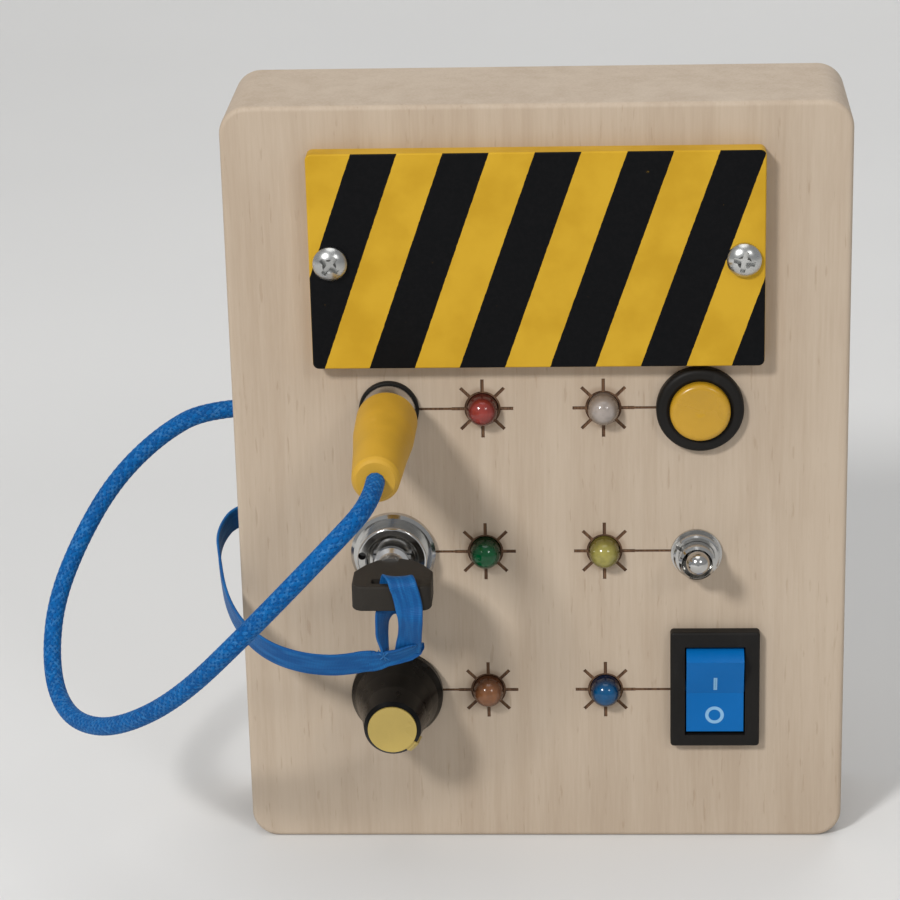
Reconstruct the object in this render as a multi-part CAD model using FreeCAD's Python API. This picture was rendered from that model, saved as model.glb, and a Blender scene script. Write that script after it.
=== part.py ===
import FreeCAD, Part
import math
import os

# A wooden busy board with six lamps and six controls. Millimetres, +Z up.
# The board stands on its bottom edge and its face looks along -Y.
# The origin is the middle of the bottom edge. A height in front of the face
# is called h here, and is negative behind the face.

os.makedirs("parts", exist_ok=True)
V = FreeCAD.Vector
X_AXIS, Y_AXIS, Z_AXIS = V(1, 0, 0), V(0, 1, 0), V(0, 0, 1)

# Clearances
slip = 0.05         # a turning or sliding fit, on the radius
loose = 0.1         # a piece that drops into a hole, on each side
touch = 0.05        # a wire beside its terminal

# Case
board_w = 100.0
board_h = 128.0
board_t = 25.0
corner_r = 4.5
edge_r = 0.8
side_wall = 6.0
front_wall = 4.0
back_t = 3.0        # rear panel
lip_w = 2.6         # ledge that the rear panel lies on
post_d = 9.0
post_inset = 5.2    # post centre from the inner walls

front = -board_t / 2
inner_face = front + front_wall
back_face = board_t / 2
panel_face = back_face - back_t
inner_x = board_w / 2 - side_wall
inner_z0 = side_wall
inner_z1 = board_h - side_wall

# Screws
shank_d = 2.8
screw_len = 11.0
pan_d = 5.5
pan_h = 1.9
sunk_d = 5.6
sunk_h = 1.8

# Battery bay
cell_d = 14.2
cell_len = 50.0
cell_gap = 0.2      # around a cell in its bay
cell_pitch = cell_d + 1.0
contact_t = 0.4
contact_d = cell_d - 4.4
cone_len = 4.3      # spring at each cell's flat end, when squeezed
cone_d = 7.2
cone_end_d = 5.2
cone_wall = 0.6
bay_end = 1.2       # end wall of the holder
nub_d = 5.4
nub_len = 1.2
holder_w = cell_len + cone_len + 2 * (contact_t + bay_end)
holder_h = 2 * cell_pitch + 1.0
holder_t = 15.5
holder_r = 1.0
feed_w = 3.0        # the two plates that the main wires are soldered to
feed_t = 0.5
feed_len = 4.0
cover_side = 7.45   # the cover beyond the holder, at each side
cover_lap = 2.1     # and above and below it
cover_w = holder_w + 2 * cover_side
cover_h = holder_h + 2 * cover_lap
cover_t = 3.4
cover_r = 1.0
cover_top = 6.9     # from the board's top to the cover
cover_z = board_h - cover_top - cover_h / 2
cover_screw_in = 3.4
cover_screw_x = cover_w / 2 - cover_screw_in

# Where the controls and lamps are
row_under = 8.1     # from the cover to the top row
row_bottom = 27.4
row_top = cover_z - cover_h / 2 - row_under
row_pitch = (row_top - row_bottom) / 2
rows = [row_top - i * row_pitch for i in range(3)]
left_x = -board_w / 2 + 25.6
right_x = board_w / 2 - 24.0
lamp_left_x = left_x + 15.2
lamp_right_x = right_x - 15.6
toggle_x = right_x - 0.5
toggle_z = rows[1] - 0.4
rocker_x = right_x + 2.6
rocker_z = rows[2] + 0.7

# Burnt marks round the lamps
mark_depth = 0.25
burn_d = 5.9        # ring round each lamp
ray_w = 0.55
ray_to = 5.0        # how far the rays reach from the lamp's middle
ray_count = 8
trace_w = 0.42      # line from a lamp to its control

# Lamps
lamp_d = 5.0
lamp_len = 8.6
flange_d = 5.8
flange_t = 1.0
lead_w = 0.5
lead_pitch = 2.54
lead_end = 3.2      # y of the lead tips

# Wiring
wire_d = 1.0
return_y = 2.4      # y of the signal and return wires
supply_y = 3.7      # y of the supply wire, behind them
return_x = (lamp_left_x + lamp_right_x) / 2
supply_top = rows[0] + 6.1
supply_bend = 3.0
resistor_d = 1.8
resistor_len = 0.37 * (return_x - lamp_left_x)
tab_t = 0.8
tab_w = 2.4
tab_x = 3.6         # a terminal from the middle of its control
tab_end = 5.2       # y of the terminal tips

# Socket and plug
barrel_d = 8.3
barrel_bore = 6.6
barrel_out = 7.5
socket_back = 11.5
ring_d = 9.8
ring_t = 1.0
pin_d = 3.2
pin_in = 7.0        # how far the pin reaches behind the face
shell_wall = 0.35
shell_from = 1.3
shell_to = 12.0
boot_from = 5.5
boot_to = 33.0
boot_d = 9.9
boot_end_d = 6.9
socket_nut_af = 11.0
socket_nut_t = 2.0

# Round cord
cord_d = 3.0
cord_z = rows[0] - 3.8
cord_knot_d = 7.0
cord_knot_len = 5.0

# Key lock
lock_d = 11.8
lock_flange_d = 14.0
lock_flange_t = 1.5
lock_ring_d = 11.4
lock_out = 4.0
lock_back = 11.0
rotor_d = 8.4
rotor_out = 3.3
keyway_w = 6.4
keyway_t = 2.1
lock_cap_t = 2.5
lock_nut_af = 15.0
lock_nut_t = 2.5
dot_d = 1.2
dot_r = 5.0
dot_angle = 170

# Key
blade_w = 6.2
blade_t = 1.8
blade_in = 9.5
neck_d = 5.8
neck_end_d = 4.6
neck_in = 1.4       # how far the neck goes into the bow
bow_x = left_x + 0.8
bow_z = rows[1] - 0.3
bow_from = 7.2
bow_shoulder = 12.7
bow_to = 19.4
bow_w = 12.8
bow_t = 4.3
bow_corner = 1.8
bow_bar = 1.3       # bar in front of the slot
slot_w = 6.6
slot_t = 2.0

# Flat ribbon
ribbon_w = 4.4
ribbon_t = 0.5
ribbon_z = rows[1] + 2.6
ribbon_lean = 18    # the tail's upper edge leans forward
ribbon_hole_d = ribbon_w + 1.2
fold_w = 7.7        # the sewn fold where the tail meets the loop
fold_t = 1.5
fold_h = 4.4
fold_side = left_x - 2.8
fold_top = rows[1] - 10.0
fold_out = 16.6
gather_w = 2.0      # the rear strand where it is gathered into the fold
stop_t = 3.0

# Potentiometer and knob
pot_d = 16.0
pot_t = 8.0
pot_bush_d = 6.9
pot_bush_out = 3.6
pot_nut_af = 10.0
pot_nut_t = 2.0
shaft_d = 6.0
shaft_flat = 1.5
knob_from = 1.0
knob_to = 15.8
knob_base_d = 15.3
knob_top_d = 9.4
knob_skirt = 1.3
knob_cap_d = 8.0
knob_cap_t = 1.0
knob_recess_d = 12.2
knob_recess = 4.4
pointer_w = 1.9
pointer_len = 2.4   # how far the pointer passes the cap
pointer_angle = -45

# Push button
button_d = 14.2
button_h = 2.0
button_barrel_d = 11.8
button_back = 11.5
button_cap_d = 9.8
button_out = 3.4
button_stop_d = 10.6
button_stop_t = 1.1
button_ledge = 0.8  # the ledge in the barrel that keeps the cap in
button_floor = 1.2
button_top_t = 1.6
button_nut_af = 14.0
button_nut_t = 2.0
spring_d = 6.4
spring_wire = 0.6

# Toggle
toggle_w = 7.9
toggle_h = 13.2
toggle_t = 9.7
bush_d = 5.9
bush_out = 5.0
ball_d = 3.7
pivot_out = 1.2
lever_root_d = 2.4
lever_tip_d = 3.8
lever_out = 11.1
lever_tilt = 13.0
toggle_nut_d = 7.6
toggle_nut_t = 1.8
toggle_slot = 1.1   # two notches for the nut's spanner
washer_d = 8.4
washer_t = 0.5
throat_out = 2.3    # the bushing's narrowest place

# Rocker
bezel_w = 14.8
bezel_h = 20.7
bezel_t = 2.0
bezel_r = 0.6
bezel_edge = 0.45
rocker_body_w = 13.0
rocker_body_h = 19.0
rocker_back = 12.0
paddle_w = 9.5
paddle_r = 7.75     # ends of the paddle about its pin
paddle_z = rocker_z - 0.25
paddle_slope = 10.0
paddle_mid = 2.3    # middle of the paddle's face in front of its pin
paddle_low = 3.0    # how deep its sides go behind the pin
rocker_pivot = -0.5
rocker_pin_d = 2.2
rocker_pin_in = 0.6 # how far each end of the pin goes into the frame
rocker_gap = 0.25
rocker_tab_w = 4.8
rocker_tab_z = 4.0  # terminals above and below the middle


def y_at(h):
    """The y of a height in front of the board's face."""
    return front - h


def box(x0, x1, y0, y1, z0, z1):
    corner = V(min(x0, x1), min(y0, y1), min(z0, z1))
    return Part.makeBox(abs(x1 - x0), abs(y1 - y0), abs(z1 - z0), corner)


def slab(x, z, w, h, t, h_top, r=0.0):
    """A plate on the face's plane, its outer side at height h_top, with round corners."""
    plate = box(x - w / 2, x + w / 2, y_at(h_top), y_at(h_top - t), z - h / 2, z + h / 2)
    if r <= 0:
        return plate
    upright = [e for e in plate.Edges if abs(e.tangentAt(e.FirstParameter).y) > 0.99]
    return plate.makeFillet(r, upright)


def rod(x, z, d, h0, h1):
    """A round bar square to the face, from height h0 to height h1."""
    return Part.makeCylinder(d / 2, abs(h1 - h0), V(x, y_at(max(h0, h1)), z), Y_AXIS)


def hexagon(x, z, across, h0, h1):
    """A nut's outline square to the face."""
    r = across / math.sqrt(3)
    points = []
    for i in range(7):
        a = math.radians(60 * i + 30)
        points.append(V(x + r * math.cos(a), y_at(h0), z + r * math.sin(a)))
    face = Part.Face(Part.makePolygon(points))
    return face.extrude(V(0, y_at(h1) - y_at(h0), 0))


def turned(x, z, start, *steps):
    """A lathe form about an axis square to the face. A step is (radius, h) for a
    line, or (radius, h, radius, h) for an arc through the first pair."""
    edges = []
    here = V(start[0], y_at(start[1]), 0)
    for step in steps + (start,):
        end = V(step[-2], y_at(step[-1]), 0)
        if (end - here).Length < 1e-6:
            continue
        if len(step) == 4:
            edges.append(Part.Arc(here, V(step[0], y_at(step[1]), 0), end).toShape())
        else:
            edges.append(Part.LineSegment(here, end).toShape())
        here = end
    solid = Part.Face(Part.Wire(edges)).revolve(V(0, 0, 0), Y_AXIS, 360)
    solid.translate(V(x, 0, z))
    return solid


def nut(x, z, across, bore, h0, h1):
    hole = rod(x, z, bore, max(h0, h1) + 1, min(h0, h1) - 1)
    return hexagon(x, z, across, h0, h1).cut(hole)


def rounded_route(points):
    """Straight runs joined by arcs, each arc as large as its two runs allow."""
    points = [V(*p) for p in points]
    edges, radii = [], []
    here = points[0]
    for before, corner, after in zip(points, points[1:], points[2:]):
        a, b = before - corner, after - corner
        run = min(a.Length, b.Length)
        a.normalize()
        b.normalize()
        turn = math.pi - a.getAngle(b)
        cut = 0.45 * run
        radius = cut / math.tan(turn / 2)
        radii.append(radius)
        start, end = corner + a * cut, corner + b * cut
        middle = a + b
        middle.normalize()
        reach = radius / math.cos(turn / 2) - radius
        edges.append(Part.LineSegment(here, start).toShape())
        edges.append(Part.Arc(start, corner + middle * reach, end).toShape())
        here = end
    edges.append(Part.LineSegment(here, points[-1]).toShape())
    return Part.Wire(edges), radii


def tube(points, d, name):
    """A cord or wire along a route, with its volume checked on the way."""
    if len(points) == 2:
        a, b = V(*points[0]), V(*points[1])
        return Part.makeCylinder(d / 2, (b - a).Length, a, b - a)
    path, radii = rounded_route(points)
    heading = V(*points[1]) - V(*points[0])
    ring = Part.Wire(Part.Circle(V(*points[0]), heading, d / 2).toShape())
    solid = path.makePipeShell([ring], True, True)
    share = solid.Volume / (math.pi * d * d / 4 * path.Length)
    least = min(radii) / d
    print(name, "length %.1f, volume share %.4f, least radius %.1f diameters"
          % (path.Length, share, least))
    return solid


def strap(sections, t):
    """A flat strap through (x, h, z, width, turn) sections. Its width lies along X,
    turned about the vertical by that many degrees."""
    places = [V(x, y_at(h), z) for x, h, z, _, _ in sections]
    wires = []
    for i, (_, _, _, w, turn) in enumerate(sections):
        across = V(math.cos(math.radians(turn)), math.sin(math.radians(turn)), 0)
        before, here, after = places[max(i - 1, 0)], places[i], places[min(i + 1, len(places) - 1)]
        sides = [across.cross(run) for run in (here - before, after - here) if run.Length > 0]
        for side in sides:
            side.normalize()
        out = sides[0] + sides[-1]
        out.normalize()
        out = out * (t / 2 / out.dot(sides[0]))
        across = across * (w / 2)
        corners = [here + across + out, here - across + out,
                   here - across - out, here + across - out]
        wires.append(Part.makePolygon(corners + corners[:1]))
    return Part.makeLoft(wires, True, True)


def ribbon(points, w, t, lean, name, sections):
    """A flat ribbon along a route. Its width is as upright as the route allows, but for
    a lean toward the front."""
    path, radii = rounded_route(points)
    line = path.discretize(Number=sections)
    wires = []
    starts = [V(*points[0])] + line[:-2] + [V(*points[-2])]
    ends = [V(*points[1])] + line[2:] + [V(*points[-1])]
    for p, before, after in zip(line, starts, ends):
        heading = after - before
        heading.normalize()
        across = V(0, -math.sin(math.radians(lean)), math.cos(math.radians(lean)))
        across = across - heading * across.dot(heading)
        across.normalize()
        through = heading.cross(across) * (t / 2)
        across = across * (w / 2)
        corners = [p + across + through, p - across + through,
                   p - across - through, p + across - through]
        wires.append(Part.makePolygon(corners + corners[:1]))
    print(name, "length %.1f" % path.Length)
    return Part.makeLoft(wires, True, True)


# Case

lamp_places = [(x, z) for z in rows for x in (lamp_left_x, lamp_right_x)]
post_places = [(sx * (inner_x - post_inset), z)
               for sx in (-1, 1)
               for z in (inner_z0 + post_inset, inner_z1 - post_inset)]


def burnt_marks():
    """For each lamp a ring, eight rays and the line to its control, a little sunk."""
    marks = []
    for x, z in lamp_places:
        mark = rod(x, z, burn_d, 1, -mark_depth)
        for i in range(ray_count):
            ray = box(x, x + ray_to, y_at(1), y_at(-mark_depth), z - ray_w / 2, z + ray_w / 2)
            ray.rotate(V(x, 0, z), Y_AXIS, i * 360 / ray_count)
            mark = mark.fuse(ray)
        control_x = left_x if x < return_x else right_x
        line = box(x, control_x, y_at(1), y_at(-mark_depth), z - trace_w / 2, z + trace_w / 2)
        marks.append(mark.fuse(line))
    return Part.makeCompound(marks)


def case_body():
    """Routed from one block: an open back, four posts and the holes of the face."""
    mid = board_h / 2
    block = slab(0, mid, board_w, board_h, board_t, 0, corner_r)
    rim = [e for e in block.Edges
           if abs(e.BoundBox.YMin - front) < 0.01 and abs(e.BoundBox.YMax - front) < 0.01]
    block = block.makeFillet(edge_r, rim)
    depth = panel_face - inner_face
    pocket = slab(0, mid, 2 * inner_x, inner_z1 - inner_z0, depth + back_t,
                  -front_wall, corner_r)
    for x, z in post_places:
        pocket = pocket.cut(rod(x, z, post_d, 0, -front_wall - depth))
    rebate = slab(0, mid, 2 * (inner_x + lip_w), inner_z1 - inner_z0 + 2 * lip_w,
                  back_t, -board_t + back_t, corner_r)
    block = block.cut(pocket).cut(rebate).cut(burnt_marks())
    through = [
        slab(0, cover_z, holder_w + 2 * loose, holder_h + 2 * loose, 2 * front_wall, 2),
        rod(left_x, rows[0], barrel_d + 2 * loose, 1, -front_wall - 1),
        rod(left_x, rows[1], lock_d + 2 * loose, 1, -front_wall - 1),
        rod(left_x, rows[2], pot_bush_d + 2 * loose, 1, -front_wall - 1),
        rod(right_x, rows[0], button_barrel_d + 2 * loose, 1, -front_wall - 1),
        rod(toggle_x, toggle_z, bush_d + 2 * loose, 1, -front_wall - 1),
        slab(rocker_x, rocker_z, rocker_body_w + 2 * loose, rocker_body_h + 2 * loose,
             2 * front_wall, 2),
    ]
    for z in rows:
        for x in (lamp_left_x, lamp_right_x):
            through.append(rod(x, z, lamp_d + 2 * loose, 1, -front_wall - 1))
    for x, z in post_places:
        through.append(rod(x, z, shank_d + 2 * touch, -board_t, -board_t + screw_len + 1))
    for sx in (-1, 1):
        through.append(rod(sx * cover_screw_x, cover_z, shank_d + 2 * touch,
                           1, cover_t - screw_len - 1))
    through.append(Part.makeCylinder(cord_d / 2 + loose, side_wall + 2,
                                     V(-board_w / 2 - 1, 0, cord_z), X_AXIS))
    through.append(Part.makeCylinder(ribbon_hole_d / 2, side_wall + 2,
                                     V(-board_w / 2 - 1, 0, ribbon_z), X_AXIS))
    return block.cut(Part.makeCompound(through))


def back_panel():
    gap = 2 * loose
    panel = slab(0, board_h / 2, 2 * (inner_x + lip_w) - gap,
                 inner_z1 - inner_z0 + 2 * lip_w - gap, back_t, -board_t + back_t, corner_r)
    for x, z in post_places:
        panel = panel.cut(rod(x, z, shank_d + 2 * loose, -board_t, -board_t + back_t))
        panel = panel.cut(turned(x, z, (0, -board_t - 1), (sunk_d / 2 + loose, -board_t - 1),
                                 (sunk_d / 2 + loose, -board_t),
                                 (shank_d / 2 + loose, -board_t + sunk_h), (0, -board_t + sunk_h)))
    return panel


def cross_recess(x, z, h_top, depth, size, facing, turn=0):
    """The cross in a screw's head, cut from h_top inward, its arms turned about the screw."""
    arm = 0.8
    inward = h_top - facing * depth
    long_z = box(x - arm / 2, x + arm / 2, y_at(h_top), y_at(inward), z - size / 2, z + size / 2)
    long_x = box(x - size / 2, x + size / 2, y_at(h_top), y_at(inward), z - arm / 2, z + arm / 2)
    middle = Part.makeCone(size * 0.36, 0.2, depth, V(x, y_at(h_top), z), V(0, facing, 0))
    cross = long_z.fuse(long_x).fuse(middle)
    cross.rotate(V(x, 0, z), Y_AXIS, turn)
    return cross


def back_panel_screws():
    screws = []
    for x, z in post_places:
        top = -board_t
        screw = turned(x, z, (0, top), (sunk_d / 2, top), (shank_d / 2, top + sunk_h),
                       (shank_d / 2, top + screw_len - 1), (0, top + screw_len))
        screws.append(screw.cut(cross_recess(x, z, top, 1.0, 3.0, -1)))
    return screws


def battery_cover():
    plate = slab(0, cover_z, cover_w, cover_h, cover_t, cover_t, cover_r)
    rim = [e for e in plate.Edges if e.BoundBox.YMax < y_at(cover_t) + 0.01]
    plate = plate.makeFillet(0.3, rim)
    for sx in (-1, 1):
        plate = plate.cut(rod(sx * cover_screw_x, cover_z, shank_d + 2 * loose, -1, cover_t + 1))
    return plate


def battery_cover_screws():
    screws = []
    for sx, turn in ((-1, 38), (1, 12)):
        x = sx * cover_screw_x
        top = cover_t + pan_h
        edge = pan_d / 2
        screw = turned(x, cover_z, (0, top), (edge * 0.5, top - 0.12, edge, cover_t + 0.7),
                       (edge, cover_t), (shank_d / 2, cover_t),
                       (shank_d / 2, cover_t - screw_len + 1), (0, cover_t - screw_len))
        screws.append(screw.cut(cross_recess(x, cover_z, top + 0.1, 1.3, 3.4, 1, turn)))
    return screws


# Power

holder_front = -loose
cell_h = holder_front - cell_gap - cell_d / 2 - 0.3
cell_rows = (cover_z - cell_pitch / 2, cover_z + cell_pitch / 2)
bay_x = holder_w / 2 - bay_end
cell_ends = bay_x - contact_t
feed_x = -holder_w / 2 + 1.8


def battery_holder():
    """An open tray with a half-round bay for each cell."""
    tray = slab(0, cover_z, holder_w, holder_h, holder_t, holder_front, holder_r)
    bay_d = cell_d + 2 * cell_gap
    for z in cell_rows:
        bore = Part.makeCylinder(bay_d / 2, 2 * bay_x, V(-bay_x, y_at(cell_h), z), X_AXIS)
        mouth = box(-bay_x, bay_x, y_at(holder_front + 1), y_at(cell_h),
                    z - bay_d / 2, z + bay_d / 2)
        tray = tray.cut(bore).cut(mouth)
    return tray


def battery_cells():
    """Each cell's nub touches one end plate; its flat end touches the spring."""
    cells = []
    for z, way in zip(cell_rows, (1, -1)):
        nub_end = way * cell_ends
        can_end = nub_end - way * nub_len
        nub = Part.makeCylinder(nub_d / 2, nub_len, V(can_end, y_at(cell_h), z), V(way, 0, 0))
        can = Part.makeCylinder(cell_d / 2, cell_len - nub_len, V(can_end, y_at(cell_h), z),
                                V(-way, 0, 0))
        rims = [e for e in can.Edges if e.Curve.TypeId == "Part::GeomCircle"]
        cells.append(can.makeFillet(0.6, rims).fuse(nub))
    return cells


def battery_contacts():
    """A flat plate at each end of each bay, and a cone of spring at the flat end."""
    contacts = []
    half = contact_d / 2
    for z, way in zip(cell_rows, (1, -1)):
        for end in (-1, 1):
            x = end * bay_x
            contacts.append(box(x, x - end * contact_t, y_at(cell_h + half),
                                y_at(cell_h - half), z - half, z + half))
        base = V(-way * cell_ends, y_at(cell_h), z)
        r0, r1 = cone_d / 2, cone_end_d / 2
        outer = Part.makeCone(r0, r1, cone_len, base, V(way, 0, 0))
        inner = Part.makeCone(r0 - cone_wall, r1 - cone_wall, cone_len, base, V(way, 0, 0))
        contacts.append(outer.cut(inner))
    bottom = cover_z - holder_h / 2
    for x in (feed_x, return_x):
        contacts.append(box(x - feed_w / 2, x + feed_w / 2, return_y, return_y + feed_t,
                            bottom - feed_len, bottom))
    return contacts


def holder_pad():
    rear = holder_front - holder_t
    return slab(0, cover_z, holder_w - 12, holder_h - 8, panel_face - y_at(rear), rear, 1.5)


# Lamps

def lamp(x, z):
    tip = lamp_len - flange_t - front_wall
    r = lamp_d / 2
    return turned(x, z, (0, -front_wall - flange_t), (flange_d / 2, -front_wall - flange_t),
                  (flange_d / 2, -front_wall), (r, -front_wall), (r, tip - r),
                  (r * math.sin(math.pi / 4), tip - r + r * math.cos(math.pi / 4), 0, tip))


def led_leads():
    leads = []
    for x, z in lamp_places:
        for side in (-1, 1):
            mid = x + side * lead_pitch / 2
            leads.append(box(mid - lead_w / 2, mid + lead_w / 2, inner_face + flange_t, lead_end,
                             z - lead_w / 2, z + lead_w / 2))
    return leads


def led_resistors():
    """One in line between each lamp's inner lead and the return wire."""
    found = []
    for x, z in lamp_places:
        way = 1 if x < return_x else -1
        start = x + way * (lead_pitch / 2 + lead_w / 2 + touch)
        end = return_x - way * (wire_d / 2 + touch)
        mid = (start + end) / 2
        wire = Part.makeCylinder(lead_w / 2, abs(end - start), V(start, return_y, z), V(way, 0, 0))
        body = Part.makeCylinder(resistor_d / 2, resistor_len,
                                 V(mid - way * resistor_len / 2, return_y, z), V(way, 0, 0))
        found.append(wire.fuse(body))
    return found


def signal_wires():
    """One from each lamp's outer lead to its control's inner terminal."""
    wires = []
    for x, z in lamp_places:
        way = -1 if x < return_x else 1
        start = x + way * (lead_pitch / 2 + lead_w / 2 + touch)
        end = (left_x if way < 0 else toggle_x) - way * (tab_x + tab_t / 2 + touch)
        end_z = z
        if way > 0 and z == rows[2]:
            end = rocker_x - rocker_tab_w / 2 - 2 * loose
            end_z = rocker_z - rocker_tab_z
            start += touch
        wires.append(tube([(start, return_y, z), (end, return_y, end_z)], wire_d, "signal"))
    return wires


def supply_wire():
    """From the left controls over the top row to the right controls."""
    left = left_x - tab_x - tab_t / 2 - touch - wire_d / 2
    right = toggle_x + tab_x + tab_t / 2 + touch + wire_d / 2
    bottom = rows[2] - tab_w / 2
    end = rocker_z + rocker_tab_z + tab_t / 2 + touch
    y, top, r = supply_y, supply_top, supply_bend
    k = r * (1 - math.sin(math.pi / 4))
    edges = [
        Part.LineSegment(V(left, y, bottom), V(left, y, top - r)).toShape(),
        Part.Arc(V(left, y, top - r), V(left + k, y, top - k), V(left + r, y, top)).toShape(),
        Part.LineSegment(V(left + r, y, top), V(right - r, y, top)).toShape(),
        Part.Arc(V(right - r, y, top), V(right - k, y, top - k), V(right, y, top - r)).toShape(),
        Part.LineSegment(V(right, y, top - r), V(right, y, end)).toShape(),
    ]
    ring = Part.Wire(Part.Circle(V(left, y, bottom), Z_AXIS, wire_d / 2).toShape())
    return Part.Wire(edges).makePipeShell([ring], True, True)


def return_wire():
    top = cover_z - holder_h / 2 - feed_len - touch
    return tube([(return_x, return_y, top), (return_x, return_y, rows[2] - 1)], wire_d, "return")


def terminals():
    """Two soldering tabs on the back of each control."""
    backs = {
        (left_x, rows[0]): y_at(-socket_back),
        (left_x, rows[1]): y_at(-lock_back - lock_cap_t),
        (left_x, rows[2]): inner_face + pot_t,
        (toggle_x, rows[0]): y_at(-button_back),
        (toggle_x, toggle_z): inner_face + toggle_t,
    }
    tabs = []
    for (x, z), y in backs.items():
        for side in (-1, 1):
            mid = x + side * tab_x
            tabs.append(box(mid - tab_t / 2, mid + tab_t / 2, y, tab_end,
                            z - tab_w / 2, z + tab_w / 2))
    for side in (-1, 1):
        mid = rocker_z + side * rocker_tab_z
        tabs.append(box(rocker_x - rocker_tab_w / 2, rocker_x + rocker_tab_w / 2,
                        y_at(-rocker_back), tab_end + 1.3, mid - tab_t / 2, mid + tab_t / 2))
    return tabs


# Socket, plug and cord

socket_x, socket_z = left_x, rows[0]


def jack_barrel():
    """The sleeve that the plug's shell slides over, with its rear flange."""
    r = barrel_d / 2
    return turned(socket_x, socket_z, (barrel_bore / 2, barrel_out),
                  (r - 0.4, barrel_out), (r, barrel_out - 0.4), (r, -socket_back),
                  (barrel_bore / 2, -socket_back))


def jack_ring():
    outer = rod(socket_x, socket_z, ring_d, 0, ring_t)
    rim = [e for e in outer.Edges if e.BoundBox.YMax < y_at(ring_t) + 0.01]
    return outer.makeFillet(0.3, rim).cut(rod(socket_x, socket_z, barrel_d + 2 * touch, -1, 3))


def jack_insulator():
    core = rod(socket_x, socket_z, barrel_bore, barrel_out - 1.0, -socket_back + 0.5)
    return core.cut(rod(socket_x, socket_z, pin_d + 2 * slip, barrel_out, -pin_in - 1.0))


def jack_nut():
    return nut(socket_x, socket_z, socket_nut_af, barrel_d + 2 * touch,
               -front_wall, -front_wall - socket_nut_t)


def plug_shell():
    inner = barrel_d / 2 + slip
    return turned(socket_x, socket_z, (inner, shell_from), (inner + shell_wall, shell_from),
                  (inner + shell_wall, shell_to), (pin_d / 2, shell_to),
                  (pin_d / 2, barrel_out + 1.0), (inner, barrel_out + 1.0))


def plug_pin():
    r = pin_d / 2
    return turned(socket_x, socket_z, (0, -pin_in), (r * 0.7, -pin_in + 0.3, r, -pin_in + 1.2),
                  (r, shell_to), (0, shell_to))


def plug_boot():
    """The soft grip: it clasps the shell and tapers to the cord."""
    r0, r1 = boot_d / 2, boot_end_d / 2
    inner = barrel_d / 2 + slip + shell_wall
    length = boot_to - boot_from
    return turned(socket_x, socket_z, (0, shell_to), (inner, shell_to), (inner, boot_from),
                  (r0 - 0.3, boot_from), (r0, boot_from + 0.4),
                  (r0 - 0.1, boot_from + length * 0.3), (r0 - 0.6, boot_from + length * 0.55),
                  (r1 + 0.3, boot_to - 1.0), (r1, boot_to - 0.4), (r1 - 0.4, boot_to),
                  (0, boot_to))


cord_bends = [  # from the board's left side, and up or down from the top row
    (-5.3, 0.0, -3.8), (-14.5, 3.7, -10.0), (-22.7, 3.3, -18.0), (-28.6, -0.2, -27.3),
    (-32.4, -5.4, -36.1), (-32.9, -11.7, -43.5), (-30.8, -19.6, -48.0), (-25.8, -29.5, -48.2),
    (-17.4, -40.8, -43.7), (-5.7, -52.1, -33.5), (7.3, -61.3, -17.7), (20.1, -61.3, -4.1),
]
cord_route = [(-inner_x, 0.0, cord_z)]
cord_route += [(x - board_w / 2, y, rows[0] + z) for x, y, z in cord_bends]
cord_route += [(left_x, y_at(boot_to) - 9.0, rows[0]), (left_x, y_at(boot_to), rows[0])]


def plug_cord():
    return tube(cord_route, cord_d, "plug_cord")


def cord_knot():
    x = -inner_x + cord_knot_len
    knot = Part.makeCylinder(cord_knot_d / 2, cord_knot_len, V(-inner_x, 0, cord_z), X_AXIS)
    rims = [e for e in knot.Edges if e.Curve.TypeId == "Part::GeomCircle"]
    return knot.makeFillet(1.6, rims)


# Key lock

lock_x, lock_z = left_x, rows[1]


def lock_body():
    """A flange, a rounded collar and a threaded barrel round the rotor."""
    r = lock_ring_d / 2
    bore = rotor_d / 2 + slip
    body = turned(lock_x, lock_z, (bore, lock_out - 0.2), (bore + 0.2, lock_out),
                  (r - 0.35, lock_out), (r - 0.1, lock_out - 0.1, r, lock_out - 0.35),
                  (r, lock_flange_t), (lock_flange_d / 2 - 0.5, lock_flange_t),
                  (lock_flange_d / 2, lock_flange_t - 0.5), (lock_flange_d / 2, 0),
                  (lock_d / 2, 0), (lock_d / 2, -lock_back), (bore, -lock_back))
    dot_turn = math.radians(dot_angle)
    dot = rod(lock_x + dot_r * math.cos(dot_turn), lock_z + dot_r * math.sin(dot_turn),
              dot_d, lock_out + 1, lock_out - 0.8)
    return body.cut(dot)


def lock_nut():
    return nut(lock_x, lock_z, lock_nut_af, lock_d + 2 * touch,
               -front_wall, -front_wall - lock_nut_t)


def lock_rotor():
    """The turning core with its flat keyway."""
    r = rotor_d / 2
    core = turned(lock_x, lock_z, (0, rotor_out), (r - 0.5, rotor_out), (r, rotor_out - 0.5),
                  (r, -lock_back + slip), (0, -lock_back + slip))
    way = box(lock_x - keyway_w / 2, lock_x + keyway_w / 2, y_at(rotor_out + 1),
              y_at(-blade_in - 0.5), lock_z - keyway_t / 2, lock_z + keyway_t / 2)
    return core.cut(way)


def lock_cap():
    cap = rod(lock_x, lock_z, lock_d, -lock_back, -lock_back - lock_cap_t)
    rim = [e for e in cap.Edges if e.BoundBox.YMin > y_at(-lock_back - lock_cap_t) - 0.01]
    return cap.makeFillet(0.5, rim)


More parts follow.
